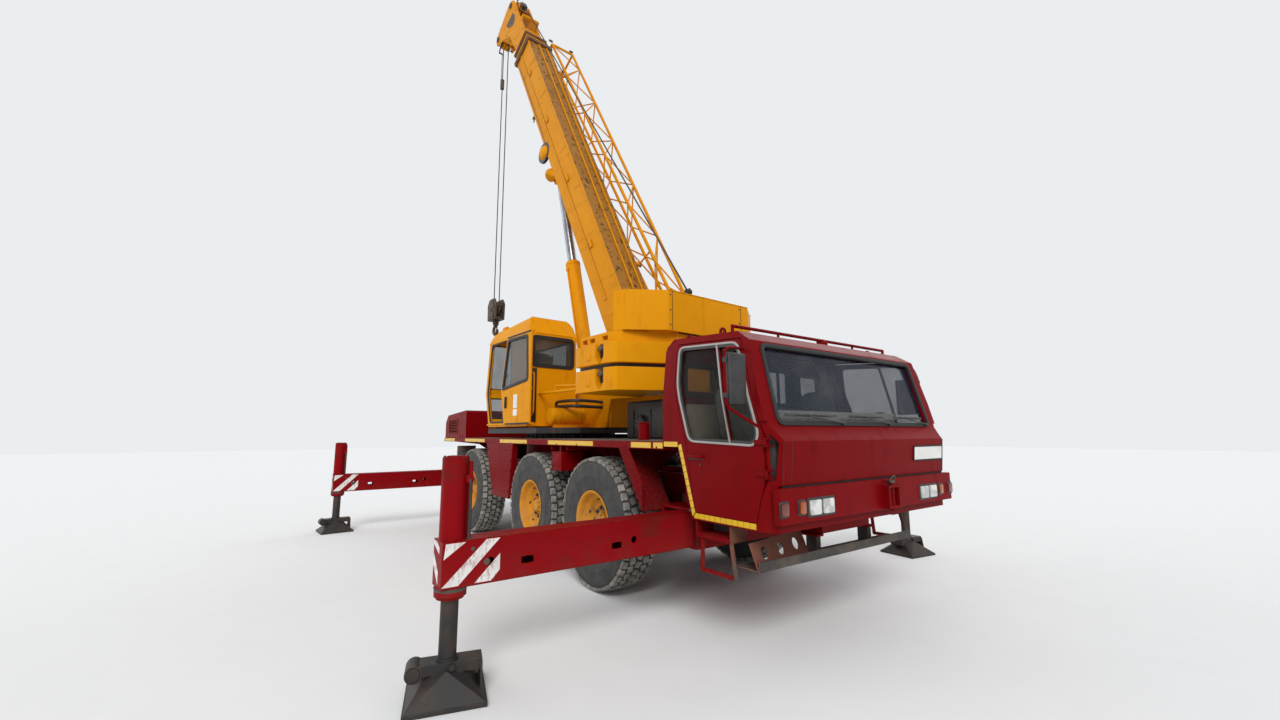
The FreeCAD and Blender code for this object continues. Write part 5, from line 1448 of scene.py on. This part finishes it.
# boom: collar edges, long ribs, cable reel with its half cone, and hoses along the side
bm = bmesh.new()
for width, s0, s1 in ((0.030, 7.655, 7.700), (0.060, 7.735, 7.765)):
    addFrame(bm, boxLine(-0.2875, -0.3595, 0.2875, 0.3115), width, s0, s1, "YZ", 0.003)
for k in (-1, 1):
    for h in (-0.26, -0.08, 0.10, 0.24):
        addRod(bm, (7.710, k * 0.283, h), (7.710, k * 0.297, h), 0.018, 6)
made = set(bm.faces)
for y in (-0.150, 0.030):
    # long ribs on the top face
    addBox(bm, (0.60, y - 0.014, 0.274), (7.64, y + 0.014, 0.296), 0.004)
for s in (4.20, 5.90):
    addBox(bm, (s, 0.2495, 0.02), (s + 0.012, 0.2535, 0.20))
for side in (-1, 1):
    for s in (1.9, 3.5, 5.2, 6.8):
        addSideBox(bm, side, (s, 0.262, -0.05), (s + 0.16, 0.270, 0.02), 0.002)
    addSideBox(bm, side, (4.0, 0.122, -0.36), (4.3, 0.150, -0.318), 0.004)
setFinish(bm, made, 1)
makePiece("boom_ribs", bm, "boom", (rustyCollar, boomYellow), boomPlace)

bm = bmesh.new()
addBox(bm, (4.62, 0.200, -0.46), (4.88, 0.235, -0.24), 0.008)
addTurned(bm, [(0.0, 0.310), (0.050, 0.310), (0.105, 0.295), (0.140, 0.262), (0.150, 0.232), (0.0, 0.232)],
          (4.75, 0.0, -0.39), 40)
# half cone under the boom that leads the cable in
addRod(bm, (4.06, 0.200, -0.330), (4.20, 0.200, -0.450), 0.030, 28, 0.120)
addBox(bm, (4.02, 0.160, -0.36), (4.12, 0.250, -0.322), 0.006)
made = set(bm.faces)
for y in (0.210, 0.248):
    addTurned(bm, [(0.0, y), (0.190, y), (0.196, y + 0.006), (0.190, y + 0.012), (0.0, y + 0.012)],
              (4.75, 0, -0.39), 48)
addTurned(bm, [(0.0, 0.220), (0.155, 0.220), (0.155, 0.252), (0.0, 0.252)], (4.75, 0, -0.39), 40)
addRod(bm, (4.197, 0.200, -0.447), (4.203, 0.200, -0.453), 0.112, 28)
addBox(bm, (5.82, 0.19, -0.38), (5.86, 0.25, -0.318), 0.006)
addRod(bm, (5.84, 0.22, -0.375), (5.90, 0.22, -0.425), 0.012, 12)
addRod(bm, (5.84, 0.22, -0.375), (5.78, 0.22, -0.425), 0.012, 12)
setFinish(bm, made, 1)
makePiece("boom_reel", bm, "boom", (yellow, blackPlastic), boomPlace)
for n, (y, h) in enumerate(((-0.268, 0.125), (-0.272, 0.090), (-0.268, 0.055))):
    makePipe("boom_hose_%d" % n, [(0.74, -0.256, h - 0.03), (0.95, y, h), (2.4, y, h + 0.006),
                                  (4.3, y, h - 0.006), (6.2, y, h + 0.005),
                                  (7.50, y, h), (7.62, y - 0.03, h)], 0.013, "boom", blackPlastic, boomPlace)
makePipe("sensor_cable", [(4.75, 0.30, -0.22), (5.2, 0.268, -0.24), (6.2, 0.268, -0.25), (7.2, 0.268, -0.24),
                          (7.62, 0.29, -0.25)], 0.005,
         "boom", blackPlastic, boomPlace)

bm = bmesh.new()
addFrame(bm, boxLine(-0.2535, -0.3255, 0.2535, 0.2775), 0.050, 8.040, 8.064, "YZ", 0.003)
for k in (-1, 1):
    for h in (-0.22, 0.0, 0.20):
        addRod(bm, (8.010, k * 0.248, h), (8.010, k * 0.262, h), 0.016, 6)
makePiece("middle_collar", bm, "telescope_inner", rustyCollar, boomPlace)


# boom head: pins with keepers, rope guards, gauge box, mast and a lamp
bm = bmesh.new()
for s, h in ((9.504, -0.718), (9.590, 0.060)):
    for side in (-1, 1):
        addRod(bm, (s, side * 0.194, h), (s, side * 0.212, h), 0.062, 32)
        addRod(bm, (s, side * 0.210, h), (s, side * 0.224, h), 0.040, 28)
        addSideBox(bm, side, (s - 0.075, 0.212, h - 0.016), (s + 0.075, 0.220, h + 0.016), 0.003)
for s, h in ((9.30, 0.17), (9.66, -0.52), (9.42, -0.80)):
    addRod(bm, (s, -0.20, h), (s, 0.20, h), 0.013, 12)
for side in (-1, 1):
    for s, h in ((8.35, 0.17), (8.35, -0.22), (8.62, -0.20), (9.10, -0.40), (9.20, 0.16)):
        addRod(bm, (s, side * 0.195, h), (s, side * 0.204, h), 0.013, 6)
    addPlate(bm, [(9.06, 0.02), (9.30, 0.06), (9.36, -0.30), (9.14, -0.24)], side * 0.1965, side * 0.2000,
             "XZ")
made = set(bm.faces)
addBox(bm, (9.30, -0.06, 0.205), (9.46, 0.06, 0.300), 0.012, 3)
addRod(bm, (9.52, 0.10, 0.185), (9.66, 0.10, 0.255), 0.012, 12)
addRod(bm, (9.62, 0.10, 0.235), (9.72, 0.10, 0.285), 0.024, 16, 0.012)
for side in (-1, 1):
    addPlate(bm, rounded([(8.98, -0.02), (9.16, 0.10), (9.20, 0.02), (9.04, -0.20)], 0.04), side * 0.1965,
             side * 0.1990, "XZ")
addRod(bm, (8.95, -0.215, 0.05), (8.95, -0.275, 0.05), 0.050, 24, 0.062)
setFinish(bm, made, 1)
made = set(bm.faces)
addRod(bm, (9.455, 0.0, 0.255), (9.475, 0.0, 0.262), 0.030, 20)
addRod(bm, (8.95, -0.274, 0.05), (8.95, -0.279, 0.05), 0.056, 24)
setFinish(bm, made, 2)
makePiece("head_fittings", bm, "telescope_head", (castIronAndShade, blackPlastic, clearLens), boomPlace)


# hoist rope: from the drum over the roller and the head sheaves, then two falls to the hook block
def ropePiece(name, points, first, second, place=None):
    made = makePipe(name, points, 0.011, None, ropeSteel, place)
    if second:
        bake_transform(made)
    else:
        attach(made, first)


def onBoom(s, y, h):
    return boomPlace @ Vector((s, y, h))


def onTurn(x, y, z):
    return turnPlace @ Vector((x, y, z))


ropeLine = [(-0.234, 0.345, 1.364), (6.900, 0.070, 0.548), (7.700, 0.039, 0.456), (8.700, 0.0, 0.342)]
ropePiece("rope_from_drum", [onTurn(-2.640, 0.120, 3.128), onTurn(-2.900, 0.235, 3.232),
                             onTurn(-3.130, 0.330, 3.322),
                             onTurn(-3.185, 0.347, 3.316), onBoom(*ropeLine[0])], "superstructure", None)
# one straight length that stays straight as the boom luffs: only its ends have rings
bm = bmesh.new()
addRod(bm, onBoom(*ropeLine[0]), onBoom(*ropeLine[1]), 0.011, 14)
tautRope = makePiece("rope_to_boom", bm, None, ropeSteel)
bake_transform(tautRope)
ropePiece("rope_on_boom", [onBoom(*ropeLine[1]), onBoom(7.3, 0.054, 0.502), onBoom(*ropeLine[2])], "boom",
          "telescope_inner")
ropePiece("rope_to_roller", [onBoom(*ropeLine[2]), onBoom(8.2, 0.020, 0.399), onBoom(*ropeLine[3])],
          "telescope_inner", "telescope_head")
ropePiece("rope_over_head", [(8.70, 0, 0.337), (9.15, 0, 0.278), (9.585, 0, 0.220), (9.68, 0, 0.205),
                             (9.752, 0, 0.120), (9.748, 0, 0.02),
                             (9.72, 0, -0.20), (9.665, 0, -0.58), (9.655, 0, -0.70)], "telescope_head", None,
          boomPlace)
headAt = onBoom(9.504, 0, -0.718)
for n, reach in enumerate((-0.138, 0.138)):
    top = headAt + turnPlace.to_3x3() @ Vector((reach, 0, 0))
    low = Vector((top.x, top.y, 4.330))
    mid = (top + low) / 2
    ropePiece("rope_fall_%d" % n, [top, mid, low], "limit_switch", "hook")

# hook block: cheek plates, pin keepers, rope guard, swivel nut and the safety latch
headX = (turnPlace.inverted() @ headAt).x
bm = bmesh.new()
for side in (-1, 1):
    lo, hi = sorted((side * 0.110, side * 0.124))
    addPlate(bm, [(headX - 0.125, 4.11), (headX - 0.155, 4.40), (headX - 0.070, 4.54), (headX + 0.070, 4.54),
                  (headX + 0.155, 4.40),
                  (headX + 0.125, 4.11)], lo, hi, "XZ", 0.004)
    addRod(bm, (headX, side * 0.122, 4.330), (headX, side * 0.140, 4.330), 0.050, 30)
    for x, z in ((-0.10, 4.16), (0.10, 4.16), (-0.13, 4.38), (0.13, 4.38), (0.0, 4.50)):
        addRod(bm, (headX + x, side * 0.122, z), (headX + x, side * 0.134, z), 0.014, 6)
for x in (-0.170, 0.170):
    addRod(bm, (headX + x, -0.108, 4.470), (headX + x, 0.108, 4.470), 0.012, 12)
addRod(bm, (headX, 0, 4.020), (headX, 0, 4.090), 0.072, 6)
addRod(bm, (headX, 0, 3.985), (headX, 0, 4.022), 0.056, 28)
latch = [(headX - 0.062, 3.945), (headX - 0.050, 3.955), (headX - 0.082, 3.842), (headX - 0.096, 3.838)]
addPlate(bm, latch, -0.014, 0.014, "XZ")
addRod(bm, (headX - 0.052, -0.026, 3.950), (headX - 0.052, 0.026, 3.950), 0.008, 12)
makePiece("hook_details", bm, "hook", hookBlack, turnPlace)

# luffing cylinder: flange with bolts at the barrel's top, bands and feed pipes
barrelPlace = turnPlace @ Matrix.Translation((-0.640, 0, 2.000)) @ Matrix.Rotation(radians(14.89), 4, "Y")
bm = bmesh.new()
for z0, z1, r in ((2.590, 2.640, 0.127), (2.640, 2.664, 0.108), (0.300, 0.340, 0.126)):
    addRod(bm, (0, 0, z0), (0, 0, z1), r, 44)
for x, y in ringSpots(12, 0.115):
    addRod(bm, (x, y, 2.638), (x, y, 2.656), 0.011, 6)
addBox(bm, (-0.035, 0.105, 2.470), (0.035, 0.145, 2.545), 0.010)
addBox(bm, (-0.035, 0.105, 0.350), (0.035, 0.145, 0.430), 0.010)
addRod(bm, (0, 0.134, 0.420), (0, 0.134, 2.480), 0.011, 16)
made = set(bm.faces)
addRod(bm, (0, 0, 2.666), (0, 0, 2.676), 0.092, 40)
setFinish(bm, made, 1)
makePiece("barrel_fittings", bm, "cylinder_barrel", (yellow, blackPlastic), barrelPlace)

# jib: end plates and pins
bm = bmesh.new()
for y in (-0.400, -0.710):
    for h in (0.545, 0.180):
        addPlate(bm, boxLine(0.540, h - 0.040, 0.660, h + 0.040), y - 0.010, y + 0.010, "XZ", 0.003)
        addRod(bm, (0.575, y - 0.030, h), (0.575, y + 0.030, h), 0.020, 16)
for h in (0.270, -0.280):
    for y in (-0.400, -0.920):
        addRod(bm, (8.210, y - 0.040, h), (8.210, y + 0.040, h), 0.022, 16)
for s, h in ((1.514, 0.18), (7.027, -0.05)):
    addRod(bm, (s, -0.445, h), (s, -0.330, h), 0.026, 16)
makePiece("jib_pins", bm, "boom", castIronAndShade, boomPlace)

# rear of the carrier: louvre frames, hood catches, silencer, tow eye and mud flaps
bm = bmesh.new()
for side in (-1, 1):
    lo, hi = sorted((side * 1.242, side * 1.252))
    addFrame(bm, rounded(boxLine(-5.490, 1.600, -4.910, 1.900), 0.02), 0.030, lo, hi, "XZ", 0.003)
    for x in (-4.62, -4.78):
        addBox(bm, (x - 0.03, lo, 1.560), (x + 0.03, hi, 1.610), 0.004)
    for y in (0.35, 0.95):
        addBox(bm, (-5.726, side * y - 0.06, 1.700), (-5.714, side * y + 0.06, 1.730), 0.004)
for n in range(7):
    addBox(bm, (-5.724, -0.80, 1.590 + 0.030 * n), (-5.716, 0.80, 1.602 + 0.030 * n), 0.002)
makePiece("hood_fittings", bm, "carrier", crimson, axlePlace)
bm = bmesh.new()
addRod(bm, (-4.75, 0.62, 2.015), (-4.75, 0.62, 2.190), 0.060, 28)
addRod(bm, (-4.75, 0.62, 2.190), (-4.75, 0.62, 2.260), 0.045, 28)
addRod(bm, (-5.10, -0.55, 0.86), (-4.70, -0.55, 0.86), 0.13, 36)
addRod(bm, (-5.16, -0.55, 0.86), (-5.10, -0.55, 0.86), 0.07, 28, 0.13)
addBox(bm, (-5.800, -0.13, 0.880), (-5.785, 0.13, 1.060), 0.006)
for y in (-0.05, 0.05):
    addBox(bm, (-5.870, y - 0.012, 0.920), (-5.790, y + 0.012, 1.020), 0.006)
addRod(bm, (-5.840, 0, 0.900), (-5.840, 0, 1.040), 0.016, 18)
for side in (-1, 1):
    addSideBox(bm, side, (-4.905, 0.90, 0.42), (-4.893, 1.24, 1.40), 0.003)
makePiece("rear_fittings", bm, "carrier", castIronAndShade, axlePlace)

# step boards with grip holes and the hanging brackets of the tray
bm = bmesh.new()
for side in (-1, 1):
    lo, hi = sorted((side * 1.236, side * 1.060))
    for n in range(4):
        y = lo + (hi - lo) * (n + 0.5) / 4
        addBox(bm, (1.660, y - 0.008, 0.829), (2.000, y + 0.008, 0.838), 0.002)
    for n in range(6):
        x = 1.690 + 0.056 * n
        addRod(bm, (x, lo + 0.02, 0.829), (x, lo + 0.02, 0.836), 0.008, 8)
made = set(bm.faces)
for side in (-1, 1):
    addSideBox(bm, side, (1.652, 1.040, 0.832), (2.008, 1.049, 0.929))
setFinish(bm, made, 1)
makePiece("step_grips", bm, "carrier", (crimson, darkTrim), axlePlace)
print("boom, rope and small parts made")


# floor, light and camera
floorMesh = bmesh.new()
bmesh.ops.create_grid(floorMesh, x_segments=1, y_segments=1, size=60)


def makeFloor():
    shade = Shade("studio_floor")
    speckle = shade.noise(3.0, 4.0)
    colour = shade.mix(speckle, (0.80, 0.80, 0.79), (0.84, 0.84, 0.83))
    return shade.finish(colour=colour, rough=0.9, specular=0.1)


floor = makePiece("studio_floor", floorMesh, None, makeFloor(), Matrix.Translation((0, 0, -0.001)), None)

world = bpy.data.worlds.new("studio")
scene.world = world
sky = Shade("studio", world)
seen = [sky.node("ShaderNodeLightPath", out=ray) for ray in ("Is Camera Ray", "Is Glossy Ray",
                                                             "Is Transmission Ray")]
light = sky.node("ShaderNodeBackground", {}, {"Color": (0.93, 0.96, 1.0, 1), "Strength": 0.62})
backdrop = sky.node("ShaderNodeBackground", {}, {"Color": (0.90, 0.92, 0.94, 1), "Strength": 0.92})
either = seen[0].maths("MAXIMUM", seen[1]).maths("MAXIMUM", seen[2])
mixed = sky.node("ShaderNodeMixShader", {}, {0: either, 1: light, 2: backdrop})
sky.node("ShaderNodeOutputWorld", {}, {"Surface": mixed})

# broad far lamps, so that the boom's head is lit like the wheels
lampSetup = {"key": ((13.0, -9.0, 14.0), 28, 1.9), "side": ((-14.0, -12.0, 9.0), 40, 0.45),
             "back": ((-4.0, 14.0, 12.0), 40, 0.40)}
for name, (spot, spread, power) in lampSetup.items():
    data = bpy.data.lights.new(name + "_light", "SUN")
    data.angle = radians(spread)
    data.energy = power
    lamp = bpy.data.objects.new(name + "_light", data)
    lamp.location = spot
    lamp.rotation_euler = (Vector((0, 0, 2.5)) - Vector(spot)).to_track_quat("-Z", "Y").to_euler()
    scene.collection.objects.link(lamp)

eye = {"at": (6.684, -4.079, 1.617), "yaw": 144.304, "pitch": 8.152, "roll": 0.201, "lens": 14.378}
yaw, pitch, roll = radians(eye["yaw"]), radians(eye["pitch"]), radians(eye["roll"])
look = Vector((cos(yaw) * cos(pitch), sin(yaw) * cos(pitch), sin(pitch)))
right = Vector((sin(yaw), -cos(yaw), 0))
up = right.cross(look)
level, lean = right * cos(roll) - up * sin(roll), up * cos(roll) + right * sin(roll)
cameraData = bpy.data.cameras.new("photo_view")
cameraData.lens = eye["lens"]
cameraData.sensor_width = 36.0
cameraData.clip_start = 0.05
cameraData.clip_end = 200.0
camera = bpy.data.objects.new("photo_view", cameraData)
camera.matrix_world = Matrix.Translation(eye["at"]) @ Matrix((level, lean, -look)).transposed().to_4x4()
scene.collection.objects.link(camera)
scene.camera = camera
scene.view_settings.view_transform = "Standard"
